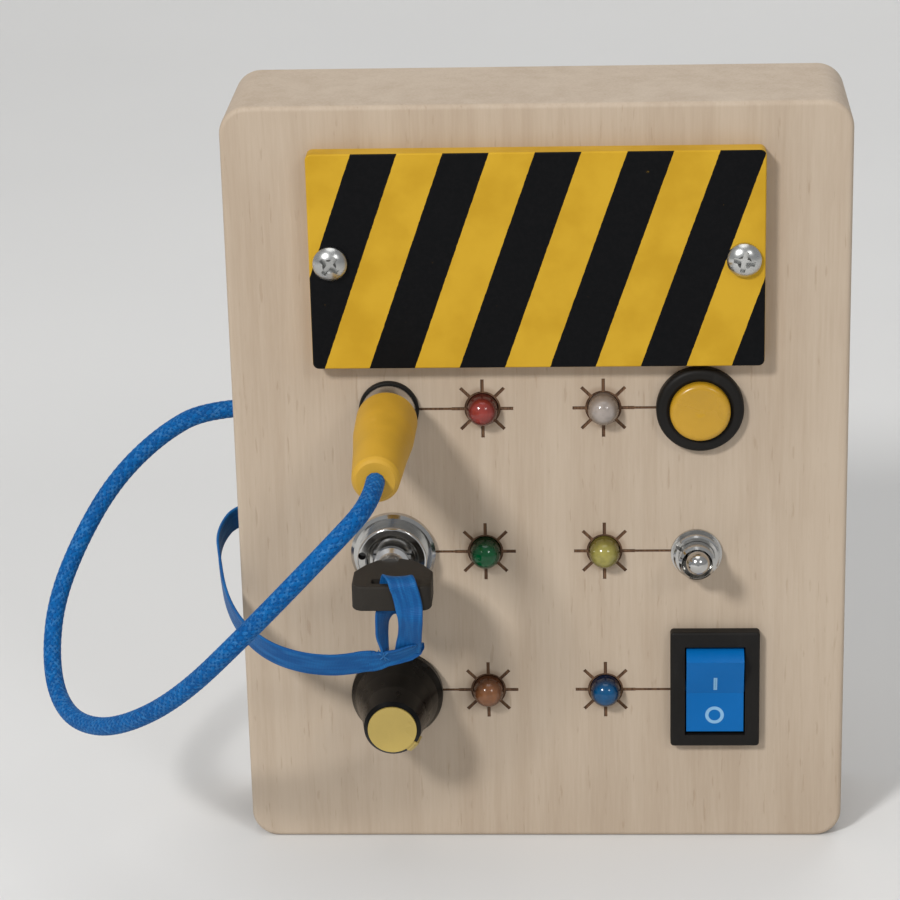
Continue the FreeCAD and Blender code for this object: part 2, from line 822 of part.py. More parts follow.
def key_blade():
    """A flat blade with a milled groove on both sides, cuts along one edge, and a
    round neck at the bow."""
    blade = box(lock_x - blade_w / 2, lock_x + blade_w / 2, y_at(bow_from - 2), y_at(-blade_in),
                lock_z - blade_t / 2, lock_z + blade_t / 2)
    for side in (-1, 1):
        groove_z = lock_z + side * blade_t / 2
        blade = blade.cut(box(lock_x - 1.6, lock_x - 0.4, y_at(rotor_out + 0.8), y_at(-blade_in - 1),
                              groove_z - 0.35, groove_z + 0.35))
    depths = (0.9, 1.5, 0.6, 1.2)
    for i, depth in enumerate(depths):
        h = -blade_in + 2.4 + i * 2.6
        edge_x = lock_x + blade_w / 2
        notch = [V(edge_x + 0.1, y_at(h + 1.2), 0), V(edge_x - depth, y_at(h + 0.4), 0),
                 V(edge_x - depth, y_at(h - 0.4), 0), V(edge_x + 0.1, y_at(h - 1.2), 0)]
        face = Part.Face(Part.makePolygon(notch + notch[:1]))
        cut = face.extrude(V(0, 0, 2 * blade_t))
        cut.translate(V(0, 0, lock_z - blade_t))
        blade = blade.cut(cut)
    low, r = rotor_out + 0.9, neck_d / 2
    return blade.fuse(turned(lock_x, lock_z, (0, low), (r - 0.4, low), (r, low + 0.4),
                             (r, low + 1.3), (neck_end_d / 2, low + 1.9),
                             (neck_end_d / 2, bow_from + neck_in), (0, bow_from + neck_in)))


def key_bow():
    """The grip: rounded toward the lock, square in front, with a slot for the ribbon."""
    half = bow_w / 2
    side = [(half, bow_to), (half, bow_shoulder), (half * 0.77, bow_shoulder - 2.6),
            (half * 0.48, bow_from + 0.8), (half * 0.16, bow_from)]
    outline = side + [(-x, h) for x, h in reversed(side)]
    points = [V(bow_x + x, y_at(h), bow_z - bow_t / 2) for x, h in outline]
    grip = Part.Face(Part.makePolygon(points + points[:1])).extrude(V(0, 0, bow_t))
    upright = [e for e in grip.Edges if abs(e.tangentAt(e.FirstParameter).z) > 0.99]
    front = [e for e in upright if e.BoundBox.YMax < y_at(bow_to) + 0.01]
    grip = grip.makeFillet(bow_corner, front)
    flat = [e for e in grip.Edges if abs(e.tangentAt(e.FirstParameter).z) < 0.01]
    grip = grip.makeFillet(0.4, flat)
    slot = box(bow_x - slot_w / 2, bow_x + slot_w / 2, y_at(bow_to - bow_bar),
               y_at(bow_to - bow_bar - slot_t), bow_z - bow_t, bow_z + bow_t)
    upright = [e for e in slot.Edges if abs(e.tangentAt(e.FirstParameter).z) > 0.99]
    grip = grip.cut(slot.makeFillet(0.5, upright))
    return grip.cut(rod(lock_x, lock_z, neck_end_d, 0, bow_from + neck_in))


# Ribbon

def ribbon_loop():
    """One strand arches over the bow's front bar and hangs in front of it. The other
    comes out below the slot, turns edge-on and is gathered into the fold."""
    front_h = bow_to + loose + ribbon_t / 2
    rear_h = bow_to - bow_bar - slot_t / 2
    top, low = bow_z + bow_t / 2, bow_z - bow_t / 2
    low_h = fold_out + 0.4
    x, w = bow_x, ribbon_w
    return strap([
        (x - 1.5, low_h, fold_top, gather_w, 60),
        (x - 1.5, low_h, fold_top + 0.7, gather_w, 60),
        (x - 1.8, low_h, fold_top + 2.6, w * 0.77, 62),
        (x - 1.7, low_h + 0.1, fold_top + 4.6, w * 0.91, 62),
        (x - 1.3, rear_h, low - 1.4, w * 0.95, 45),
        (x - 0.6, rear_h, low - 0.2, w, 12),
        (x, rear_h, low + 0.8, w, 0),
        (x + 0.3, rear_h, top - 0.3, w, 0),
        (x + 0.6, rear_h + 0.2, top + 0.6, w, 0),
        (x + 1.1, rear_h + 1.0, top + 1.05, w, 0),
        (x + 1.6, front_h - 0.9, top + 1.0, w, 0),
        (x + 2.0, front_h - 0.05, top + 0.3, w, 0),
        (x + 2.4, front_h, top - 1.1, w, 0),
        (x + 2.8, front_h, low + 1.1, w, 0),
        (x + 3.0, front_h + 0.3, low - 0.9, w * 0.95, -12),
        (x + 2.9, front_h - 0.6, fold_top + 4.4, w * 0.92, -20),
        (x + 2.7, low_h + 1.2, fold_top + 2.4, w * 0.92, -18),
        (x + 2.5, low_h + 0.3, fold_top + 0.9, w * 0.92, -8),
        (x + 2.4, low_h + 0.1, fold_top + 0.3, w * 0.92, 0),
        (x + 2.4, low_h + 0.1, fold_top, w * 0.92, 0),
    ], ribbon_t)


def ribbon_knot():
    """The join: the tail turns upward in a slanting fold, sewn to the rear strand."""
    low = fold_top - fold_h
    outline = [(0, fold_top), (fold_w, fold_top), (fold_w - 0.6, fold_top - 1.5),
               (fold_w - 1.8, fold_top - 2.4), (2.1, low + 0.9), (0, low)]
    points = [V(fold_side + x, y_at(fold_out + fold_t / 2), z) for x, z in outline]
    pad = Part.Face(Part.makePolygon(points + points[:1])).extrude(V(0, fold_t, 0))
    rims = [e for e in pad.Edges if abs(e.tangentAt(e.FirstParameter).y) < 0.01
            and e.BoundBox.XMin > fold_side + 0.01 and e.BoundBox.ZMax < fold_top - 0.01]
    return pad.makeFillet(0.4, rims)


tail_bends = [  # from the board's left side, and up or down from the middle row
    (19.6, -29.0, -12.8), (15.7, -28.7, -13.3), (10.6, -27.9, -13.0), (5.4, -25.9, -11.9),
    (1.0, -22.1, -9.8), (-2.0, -16.9, -7.0), (-3.5, -10.8, -3.6), (-4.5, -5.4, -0.3),
    (-1.2, 0.0, 2.6),
]
tail_z = fold_top - fold_h / 2 - 0.1
tail_route = [(fold_side, y_at(fold_out), tail_z), (fold_side - 1.4, y_at(fold_out), tail_z)]
tail_route += [(x - board_w / 2, y, rows[1] + z) for x, y, z in tail_bends]
tail_route += [(-inner_x, 0.0, ribbon_z)]


def ribbon_tail():
    return ribbon(tail_route, ribbon_w, ribbon_t, ribbon_lean, "ribbon_tail", 22)


def ribbon_stop():
    stop = box(-inner_x, -inner_x + stop_t, -stop_t / 2, stop_t / 2,
               ribbon_z - ribbon_w / 2 - 1, ribbon_z + ribbon_w / 2 + 1)
    rims = [e for e in stop.Edges if abs(e.tangentAt(e.FirstParameter).z) > 0.99]
    return stop.makeFillet(0.9, rims)


# Potentiometer and knob

pot_x, pot_z = left_x, rows[2]


def pot_body():
    """A round can behind the face with a threaded bush through it."""
    r = pot_d / 2
    bore = shaft_d / 2 + slip
    back = -front_wall - pot_t
    return turned(pot_x, pot_z, (bore, pot_bush_out), (pot_bush_d / 2 - 0.3, pot_bush_out),
                  (pot_bush_d / 2, pot_bush_out - 0.3), (pot_bush_d / 2, -front_wall),
                  (r, -front_wall), (r, back + 0.8), (r - 0.8, back), (0, back),
                  (0, back + 2.0), (bore, back + 2.0))


def pot_nut():
    return nut(pot_x, pot_z, pot_nut_af, pot_bush_d + 2 * touch, 0, pot_nut_t)


def pot_shaft():
    back = -front_wall - pot_t + 2.0 + slip
    top = knob_to - knob_cap_t - 2.2
    shaft = rod(pot_x, pot_z, shaft_d, back, top)
    flat = box(pot_x + shaft_d / 2 - shaft_flat, pot_x + shaft_d, y_at(pot_bush_out + 1.2),
               y_at(top + 1), pot_z - shaft_d, pot_z + shaft_d)
    return shaft.cut(flat)


def knob_outline(grow):
    """The knob's outer form, with its side moved out by grow."""
    r0, r1 = knob_base_d / 2 + grow, knob_top_d / 2 + grow
    top = knob_to - 0.3
    low, high = knob_from + knob_skirt, top - 0.6
    flare = [(0.12, 0.24), (0.35, 0.5), (0.65, 0.78)]
    side = [(r0 + (r1 - r0) * inward, low + (high - low) * up) for up, inward in flare]
    return turned(pot_x, pot_z, (0, knob_from), (r0, knob_from), (r0, low), *side,
                  (r1, high), (r1 - 0.6, top), (0, top))


def pointer_bar(width, reach):
    """A bar across the knob's rim at the pointer's angle."""
    bar = box(pot_x + knob_cap_d / 2 - 0.8, pot_x + knob_cap_d / 2 + reach,
              y_at(knob_to + 1), y_at(knob_to - 4.2), pot_z - width / 2, pot_z + width / 2)
    bar.rotate(V(pot_x, 0, pot_z), Y_AXIS, -pointer_angle)
    return bar


def knob_body():
    """Hollow below for the nut, with a flat-sided bore for the shaft."""
    knob = knob_outline(0)
    knob = knob.cut(rod(pot_x, pot_z, knob_recess_d, knob_from - 1, knob_from + knob_recess))
    bore = rod(pot_x, pot_z, shaft_d + 2 * touch, knob_from, knob_to - knob_cap_t - 2)
    flat = box(pot_x + shaft_d / 2 - shaft_flat + touch, pot_x + shaft_d,
               y_at(pot_bush_out + 1.4), y_at(knob_to), pot_z - shaft_d, pot_z + shaft_d)
    knob = knob.cut(bore.cut(flat))
    knob = knob.cut(rod(pot_x, pot_z, knob_cap_d + 2 * touch, knob_to - knob_cap_t, knob_to + 1))
    return knob.cut(pointer_bar(pointer_w + 2 * touch, pointer_len + 5))


def knob_cap():
    """The yellow disc and the pointer that folds over the knob's rim."""
    disc = rod(pot_x, pot_z, knob_cap_d, knob_to - knob_cap_t, knob_to)
    return disc.fuse(pointer_bar(pointer_w, pointer_len).common(knob_outline(0.4)))


# Push button

button_x, button_z = right_x, rows[0]


def button_housing():
    """A round bezel over a threaded barrel that the cap slides in."""
    r = button_d / 2
    guide = button_cap_d / 2 + slip
    chamber = button_stop_d / 2 + slip
    ledge = -button_ledge
    floor = -button_back + button_floor
    return turned(button_x, button_z, (guide, button_h - 0.3), (guide + 0.5, button_h),
                  (r - 0.9, button_h), (r - 0.26, button_h - 0.26, r, button_h - 0.9), (r, 0),
                  (button_barrel_d / 2, 0), (button_barrel_d / 2, -button_back),
                  (0, -button_back), (0, floor), (chamber, floor), (chamber, ledge),
                  (guide, ledge))


def button_nut():
    return nut(button_x, button_z, button_nut_af, button_barrel_d + 2 * touch,
               -front_wall, -front_wall - button_nut_t)


def button_cap():
    """A cup with a rounded edge, kept in by its stop ring."""
    r = button_cap_d / 2
    stop_top = -button_ledge - slip
    stop_low = stop_top - button_stop_t
    return turned(button_x, button_z, (0, button_out), (r - 0.9, button_out - 0.12),
                  (r - 0.26, button_out - 0.4, r, button_out - 1.1), (r, stop_top),
                  (button_stop_d / 2, stop_top), (button_stop_d / 2, stop_low),
                  (spring_d / 2 + 0.4, stop_low),
                  (spring_d / 2 + 0.4, button_out - button_top_t),
                  (0, button_out - button_top_t))


def button_spring():
    """The hidden return spring, kept as its outer sleeve."""
    top = button_out - button_top_t
    floor = -button_back + button_floor
    return rod(button_x, button_z, spring_d, top, floor).cut(
        rod(button_x, button_z, spring_d - 2 * spring_wire, top + 1, floor - 1))


# Toggle

def toggle_body():
    return box(toggle_x - toggle_w / 2, toggle_x + toggle_w / 2, inner_face, inner_face + toggle_t,
               toggle_z - toggle_h / 2, toggle_z + toggle_h / 2)


def toggle_bushing():
    """A threaded tube whose mouth opens for the lever's swing."""
    r = bush_d / 2
    seat = ball_d / 2 + slip
    neck = throat_out
    swing = math.tan(math.radians(lever_tilt))
    mouth = (bush_out - pivot_out) * swing + lever_root_d / 2 + 0.45
    return turned(toggle_x, toggle_z, (seat, -front_wall), (r, -front_wall),
                  (r, bush_out - 0.4), (r - 0.4, bush_out), (mouth, bush_out),
                  (seat - 0.15, neck), (seat - 0.15, neck - 0.1), (seat, neck - 0.6))


def toggle_nut():
    """A washer and a round nut with two notches for its spanner."""
    top, r = washer_t + toggle_nut_t, toggle_nut_d / 2
    ring = rod(toggle_x, toggle_z, washer_d, 0, washer_t).fuse(turned(
        toggle_x, toggle_z, (0, washer_t), (r, washer_t), (r, top - 0.3), (r - 0.3, top), (0, top)))
    ring = ring.cut(rod(toggle_x, toggle_z, bush_d + 2 * touch, -1, top + 1))
    notch = box(toggle_x - r - 1, toggle_x + r + 1, y_at(top + 1), y_at(top - 0.9),
                toggle_z - toggle_slot / 2, toggle_z + toggle_slot / 2)
    notch.rotate(V(toggle_x, 0, toggle_z), Y_AXIS, 35)
    return ring.cut(notch)


def toggle_lever():
    """A ball in the bushing, a bar that widens to a round tip, tilted up at rest."""
    r0, r1 = lever_root_d / 2, lever_tip_d / 2
    tip = lever_out
    ball = ball_d / 2
    tail = lever_root_d / 2 - 0.5
    under = pivot_out - math.sqrt(ball ** 2 - tail ** 2)
    over = pivot_out + math.sqrt(ball ** 2 - r0 ** 2)
    lever = turned(toggle_x, toggle_z, (0, pivot_out - 2 * ball), (tail, pivot_out - 2 * ball),
                   (tail, under), (ball, pivot_out, r0, over), (r0, over + 1.2),
                   (r1, tip - r1 - 0.3), (r1, tip - r1),
                   (r1 * math.sin(math.pi / 4), tip - r1 + r1 * math.cos(math.pi / 4), 0, tip))
    lever.rotate(V(toggle_x, y_at(pivot_out), toggle_z), X_AXIS, -lever_tilt)
    return lever


# Rocker

def rocker_frame():
    """A bezel over a box that is open at the front."""
    bezel = slab(rocker_x, rocker_z, bezel_w, bezel_h, bezel_t, bezel_t, bezel_r)
    rim = [e for e in bezel.Edges if e.BoundBox.YMax < y_at(bezel_t) + 0.01]
    bezel = bezel.makeFillet(bezel_edge, rim)
    body = slab(rocker_x, rocker_z, rocker_body_w, rocker_body_h, rocker_back, 0)
    frame = bezel.fuse(body)
    opening_w = paddle_w + 2 * rocker_gap
    opening_h = 2 * (paddle_r + rocker_gap)
    frame = frame.cut(slab(rocker_x, paddle_z, opening_w, opening_h,
                           rocker_back + bezel_t - 2.0, bezel_t))
    return frame.cut(rocker_pin(rocker_pin_d + 2 * slip, rocker_pin_in + loose))


def rocker_pin(d, reach):
    half = paddle_w / 2 + rocker_gap + reach
    return Part.makeCylinder(d / 2, 2 * half, V(rocker_x - half, y_at(rocker_pivot), paddle_z),
                             X_AXIS)


def rocker_paddle():
    """A dished paddle whose ends follow an arc about its pin, lower end pressed in."""
    slope = math.tan(math.radians(paddle_slope))
    r, mid = paddle_r, paddle_mid
    reach = (-mid * slope + math.sqrt(r * r * (1 + slope ** 2) - mid ** 2)) / (1 + slope ** 2)
    low = paddle_low
    side = math.sqrt(r * r - low * low)

    def at(z, out):
        return V(0, y_at(rocker_pivot + out), paddle_z + z)

    edges = [
        Part.LineSegment(at(0, mid), at(reach, mid + reach * slope)).toShape(),
        Part.Arc(at(reach, mid + reach * slope), at(r, 0), at(side, -low)).toShape(),
        Part.LineSegment(at(side, -low), at(1.5, -low - 1.5)).toShape(),
        Part.LineSegment(at(1.5, -low - 1.5), at(-1.5, -low - 1.5)).toShape(),
        Part.LineSegment(at(-1.5, -low - 1.5), at(-side, -low)).toShape(),
        Part.Arc(at(-side, -low), at(-r, 0), at(-reach, mid + reach * slope)).toShape(),
        Part.LineSegment(at(-reach, mid + reach * slope), at(0, mid)).toShape(),
    ]
    paddle = Part.Face(Part.Wire(edges)).extrude(V(paddle_w, 0, 0))
    paddle.translate(V(rocker_x - paddle_w / 2, 0, 0))
    paddle = paddle.fuse(rocker_pin(rocker_pin_d, rocker_pin_in))
    paddle.rotate(V(rocker_x, y_at(rocker_pivot), paddle_z), X_AXIS, paddle_slope)
    return paddle


nodes = {
    "case_body": case_body,
    "back_panel": back_panel,
    "back_panel_screws": back_panel_screws,
    "battery_cover": battery_cover,
    "battery_cover_screws": battery_cover_screws,
    "battery_holder": battery_holder,
    "battery_cells": battery_cells,
    "battery_contacts": battery_contacts,
    "holder_pad": holder_pad,
    "led_red": lambda: lamp(lamp_left_x, rows[0]),
    "led_clear": lambda: lamp(lamp_right_x, rows[0]),
    "led_green": lambda: lamp(lamp_left_x, rows[1]),
    "led_yellow": lambda: lamp(lamp_right_x, rows[1]),
    "led_orange": lambda: lamp(lamp_left_x, rows[2]),
    "led_blue": lambda: lamp(lamp_right_x, rows[2]),
    "led_leads": led_leads,
    "led_resistors": led_resistors,
    "signal_wires": signal_wires,
    "supply_wire": supply_wire,
    "return_wire": return_wire,
    "switch_terminals": terminals,
    "jack_barrel": jack_barrel,
    "jack_ring": jack_ring,
    "jack_insulator": jack_insulator,
    "jack_nut": jack_nut,
    "plug_shell": plug_shell,
    "plug_pin": plug_pin,
    "plug_boot": plug_boot,
    "plug_cord": plug_cord,
    "cord_knot": cord_knot,
    "lock_body": lock_body,
    "lock_nut": lock_nut,
    "lock_rotor": lock_rotor,
    "lock_cap": lock_cap,
    "key_blade": key_blade,
    "key_bow": key_bow,
    "ribbon_loop": ribbon_loop,
    "ribbon_knot": ribbon_knot,
    "ribbon_tail": ribbon_tail,
    "ribbon_stop": ribbon_stop,
    "pot_body": pot_body,
    "pot_nut": pot_nut,
    "pot_shaft": pot_shaft,
    "knob_body": knob_body,
    "knob_cap": knob_cap,
    "button_housing": button_housing,
    "button_nut": button_nut,
    "button_cap": button_cap,
    "button_spring": button_spring,
    "toggle_body": toggle_body,
    "toggle_bushing": toggle_bushing,
    "toggle_nut": toggle_nut,
    "toggle_lever": toggle_lever,
    "rocker_frame": rocker_frame,
    "rocker_paddle": rocker_paddle,
}

for name, make in nodes.items():
    shape = make()
    if isinstance(shape, list):
        shape = Part.makeCompound([solid for piece in shape for solid in piece.Solids])
    shape.exportStep("parts/" + name + ".step")
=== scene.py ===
import math

import bmesh
import bpy
from mathutils import Matrix, Vector
from mathutils.bvhtree import BVHTree


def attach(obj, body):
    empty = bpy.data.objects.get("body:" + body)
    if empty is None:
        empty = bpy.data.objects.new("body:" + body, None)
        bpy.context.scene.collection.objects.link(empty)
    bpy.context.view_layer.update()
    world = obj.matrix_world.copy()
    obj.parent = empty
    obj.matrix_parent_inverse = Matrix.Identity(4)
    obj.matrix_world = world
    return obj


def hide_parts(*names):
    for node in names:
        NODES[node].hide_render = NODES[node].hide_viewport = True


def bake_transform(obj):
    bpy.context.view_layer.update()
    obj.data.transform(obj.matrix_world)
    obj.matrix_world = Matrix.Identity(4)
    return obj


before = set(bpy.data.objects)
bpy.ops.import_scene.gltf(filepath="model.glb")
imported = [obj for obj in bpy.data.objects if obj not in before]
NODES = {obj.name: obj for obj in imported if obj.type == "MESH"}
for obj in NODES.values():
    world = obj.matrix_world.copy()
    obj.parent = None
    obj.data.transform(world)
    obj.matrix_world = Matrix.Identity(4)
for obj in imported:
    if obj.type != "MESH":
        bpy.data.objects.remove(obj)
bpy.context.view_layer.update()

# A wooden busy board. Metres, in the CAD frame: +Z up, the face looks along -Y.

MM = 0.001
FACE = -12.5 * MM            # y of the board's face
LAMP_MID = 0.6 * MM          # x half-way between the two columns of lamps
LAMP_SIDE = 9.8 * MM         # from there to each column
ROW_LOW = 27.4 * MM          # z of the lowest row
ROW_STEP = 25.0 * MM
MARKS_X, MARKS_Z = 32.0 * MM, 34.0 * MM      # how far burnt marks reach from the middle
scene = bpy.context.scene


# Camera and light

EYE = Vector((0.01243, -0.50228, 0.2515))
YAW, PITCH, ROLL = -3.165, 20.277, -1.461    # degrees
FOCAL = 128.2                                # on a 36 mm sensor


def camera():
    """The photograph's viewpoint, found from the board's corners and its controls."""
    lens = bpy.data.cameras.new("camera")
    lens.lens, lens.sensor_width, lens.clip_start = FOCAL, 36.0, 0.01
    seen = bpy.data.objects.new("camera", lens)
    scene.collection.objects.link(seen)
    yaw, pitch, roll = (math.radians(a) for a in (YAW, PITCH, ROLL))
    ahead = Vector((math.sin(yaw) * math.cos(pitch), math.cos(yaw) * math.cos(pitch),
                    -math.sin(pitch)))
    side = Vector((math.cos(yaw), -math.sin(yaw), 0))
    up = side.cross(ahead)
    right = side * math.cos(roll) + up * math.sin(roll)
    top = up * math.cos(roll) - side * math.sin(roll)
    turn = Matrix((right, top, -ahead)).transposed().to_4x4()
    seen.matrix_world = Matrix.Translation(EYE) @ turn
    scene.camera = seen


def lamp(name, place, aim, size, watts):
    made = bpy.data.objects.new(name, bpy.data.lights.new(name, "AREA"))
    made.data.shape, made.data.size, made.data.energy = "DISK", size, watts
    made.location = place
    made.rotation_euler = (Vector(aim) - Vector(place)).to_track_quat("-Z", "Y").to_euler()
    scene.collection.objects.link(made)


def new_piece(name, mesh):
    """A scene object made from a bmesh."""
    data = bpy.data.meshes.new(name)
    mesh.to_mesh(data)
    mesh.free()
    made = bpy.data.objects.new(name, data)
    scene.collection.objects.link(made)
    return made


def tree_of(piece):
    """The piece's surface, to find where a line along +Y meets it."""
    return BVHTree.FromPolygons([v.co for v in piece.data.vertices],
                                [p.vertices[:] for p in piece.data.polygons])


camera()


# Cord and ribbon routes, the same points as the CAD's, in metres

def metres(points):
    return [Vector(p) * MM for p in points]


CORD_ROUTE = metres([
    (-44, 0, 73.6), (-55.3, 0, 73.6), (-64.5, 3.7, 67.4), (-72.7, 3.3, 59.4),
    (-78.6, -0.2, 50.1), (-82.4, -5.4, 41.3), (-82.9, -11.7, 33.9), (-80.8, -19.6, 29.4),
    (-75.8, -29.5, 29.2), (-67.4, -40.8, 33.7), (-55.7, -52.1, 43.9), (-42.7, -61.3, 59.7),
    (-29.9, -61.3, 73.3), (-24.4, -54.5, 77.4), (-24.4, -45.5, 77.4)])
TAIL_ROUTE = metres([
    (-27.2, -29.1, 40.1), (-28.6, -29.1, 40.1), (-30.4, -29.0, 39.6), (-34.3, -28.7, 39.1),
    (-39.4, -27.9, 39.4), (-44.6, -25.9, 40.5), (-49.0, -22.1, 42.6), (-52.0, -16.9, 45.4),
    (-53.5, -10.8, 48.8), (-54.5, -5.4, 52.1), (-51.2, 0, 55), (-44, 0, 55)])
DETAIL = 24                  # points read from each stretch of a route's smooth line


def spline_points(points, detail):
    """Points read from the smooth line that has the route as its control points."""
    curve = bpy.data.curves.new("route", "CURVE")
    curve.dimensions = "3D"
    line = curve.splines.new("NURBS")
    line.points.add(len(points) - 1)
    for p, co in zip(line.points, points):
        p.co = (*co, 1.0)
    line.order_u = 3
    line.use_endpoint_u = True
    curve.resolution_u = detail
    holder = bpy.data.objects.new("route", curve)
    scene.collection.objects.link(holder)
    bpy.context.view_layer.update()
    mesh = bpy.data.meshes.new_from_object(holder)
    found = [v.co.copy() for v in mesh.vertices]
    bpy.data.meshes.remove(mesh)
    bpy.data.objects.remove(holder)
    bpy.data.curves.remove(curve)
    return found


def walked(points):
    """How far along the line each point is."""
    far = [0.0]
    for a, b in zip(points, points[1:]):
        far.append(far[-1] + (b - a).length)
    return far


def spaced(points, step):
    """Points a step apart along a line."""
    far = walked(points)
    count = max(2, round(far[-1] / step))
    found, k = [], 0
    for i in range(count + 1):
        s = far[-1] * i / count
        while k < len(far) - 2 and far[k + 1] < s:
            k += 1
        t = (s - far[k]) / max(far[k + 1] - far[k], 1e-12)
        found.append(points[k].lerp(points[k + 1], min(max(t, 0), 1)))
    return found


def headings(points):
    found = []
    for i in range(len(points)):
        found.append((points[min(i + 1, len(points) - 1)] - points[max(i - 1, 0)]).normalized())
    return found


def swept(name, points, ring, acrosses, shape):
    """A mesh that carries a ring of (across, through) places along a line. shape changes
    each place, from how far along it is and its index in the ring. The piece gets a UV
    map of metres along and around."""
    ways = headings(points)
    far = walked(points)
    mesh = bmesh.new()
    uv = mesh.loops.layers.uv.new("lay")
    rows = []
    for p, way, across, s in zip(points, ways, acrosses, far):
        across = (across - way * across.dot(way)).normalized()
        through = way.cross(across)
        row = []
        for k, (a, t) in enumerate(ring):
            a, t = shape(a, t, s, k)
            row.append(mesh.verts.new(p + across * a + through * t))
        rows.append(row)
    around = [0.0]
    n = len(ring)
    for k in range(n):
        a, b = ring[k], ring[(k + 1) % n]
        around.append(around[-1] + math.hypot(b[0] - a[0], b[1] - a[1]))
    for i in range(len(rows) - 1):
        for k in range(n):
            j = (k + 1) % n
            face = mesh.faces.new((rows[i][k], rows[i][j], rows[i + 1][j], rows[i + 1][k]))
            face.smooth = True
            for loop, place in zip(face.loops, ((far[i], around[k]), (far[i], around[k + 1]),
                                                (far[i + 1], around[k + 1]),
                                                (far[i + 1], around[k]))):
                loop[uv].uv = place
    mesh.faces.new(rows[0][::-1])
    mesh.faces.new(rows[-1])
    bmesh.ops.recalc_face_normals(mesh, faces=mesh.faces)
    return new_piece(name, mesh)


def no_twist(points, first):
    """An across direction for each point that never spins about the line."""
    found, across = [], Vector(first)
    for way in headings(points):
        across = (across - way * across.dot(way)).normalized()
        found.append(across)
    return found


# The braided cord

CORD_R = 1.5 * MM
CORD_AROUND = 48             # points in its ring
CORD_STEP = 0.16 * MM
STRANDS = 10
BRAID_PITCH = 1.25 * MM      # along the cord, from one strand to the next
BRAID_DEEP = 0.10 * MM       # how far the lowest places lie under the cord's radius
BRAID_RISE = 0.075 * MM
WEAVE_LIFT = 0.35            # how much a strand rises and sinks at each crossing


def braid(angle, s):
    """The height of a plain braid: the higher of its two families of strands."""
    a = STRANDS * angle / (2 * math.pi) + s / BRAID_PITCH
    b = STRANDS * angle / (2 * math.pi) - s / BRAID_PITCH
    lift_a = WEAVE_LIFT * (-1) ** (math.floor(a) % 2) * math.sin(math.pi * b)
    lift_b = -WEAVE_LIFT * (-1) ** (math.floor(b) % 2) * math.sin(math.pi * a)
    high_a = math.sqrt(max(0, 1 - (2 * (a % 1) - 1) ** 2)) + lift_a
    high_b = math.sqrt(max(0, 1 - (2 * (b % 1) - 1) ** 2)) + lift_b
    return max(high_a, high_b)


def cord_piece():
    points = spaced(spline_points(CORD_ROUTE, DETAIL), CORD_STEP)
    turns = [2 * math.pi * k / CORD_AROUND for k in range(CORD_AROUND)]
    ring = [(CORD_R * math.cos(turn), CORD_R * math.sin(turn)) for turn in turns]

    def shape(a, t, s, k):
        scale = (CORD_R - BRAID_DEEP + BRAID_RISE * braid(turns[k], s)) / CORD_R
        return a * scale, t * scale

    made = swept("cord_braid", points, ring, no_twist(points, (0, 1, 0)), shape)
    return made, points


cord, cord_line = cord_piece()
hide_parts("plug_cord")
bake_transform(cord)


# The flat ribbon: a tail from the board, a sewn fold, and a loop through the key's bow

RIBBON_W = 4.4 * MM
RIBBON_T = 0.5 * MM
THIN = 0.8                   # of that thickness, which leaves room for the ribs
RIBBON_STEP = 0.1 * MM
LEAN = math.radians(18)

# The next numbers are in millimetres, and a height is in front of the board's face.
FOLD_LEFT, FOLD_RIGHT, FOLD_H = -27.7, -19.3, 16.6
FOLD_STEPS = 84
FLAT_SHARE = 0.12            # of the fold's length that still lies flat, as the tail does
RIM = [(-27.2, 38.0), (-26.2, 38.3), (-25.1, 38.9), (-23.1, 39.45), (-21.4, 40.0),
       (-20.2, 40.8), (-19.6, 41.7), (-19.3, 42.6)]
CREASE = [(-25.6, 42.2), (-22.9, 42.7), (-19.3, 44.0)]
STITCHES = [(-26.1, 42.0, -24.3, 40.3), (-24.5, 42.1, -25.9, 40.5), (-25.3, 42.2, -25.0, 40.2)]
THREAD_R = 0.11


def leaning(angle):
    """The ribbon's across direction: upright, tipped forward by an angle."""
    return Vector((0, -math.sin(angle), math.cos(angle)))


def flat_ring(w, t):
    """A flat section with rounded edges."""
    half, r = w / 2, t / 2
    ring = []
    for side in (1, -1):
        for k in range(5):
            a = math.radians(90 - 45 * k) if side > 0 else math.radians(-90 - 45 * k)
            ring.append((side * (half - r) + r * math.cos(a), r * math.sin(a)))
        for k in range(1, 8):
            x = side * (half - r) * (1 - k / 4)
            ring.append((x, -side * r))
    return ring


def ribs(a, t, s, k):
    """Fine woven ribs across the ribbon, with a raised cord along each edge."""
    wave = 0.008 * MM * math.sin(2 * math.pi * s / (0.5 * MM))
    edge = 0.05 * MM if abs(a) > 0.36 * RIBBON_W else 0
    grow = 1 + (wave + edge) / (RIBBON_T / 2)
    return a, t * grow


def tail_piece():
    points = spaced(spline_points(TAIL_ROUTE, DETAIL), RIBBON_STEP)
    return swept("ribbon_woven", points, flat_ring(RIBBON_W, RIBBON_T * THIN),
                 [leaning(LEAN)] * len(points), ribs), points


tail, tail_line = tail_piece()
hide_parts("ribbon_tail")


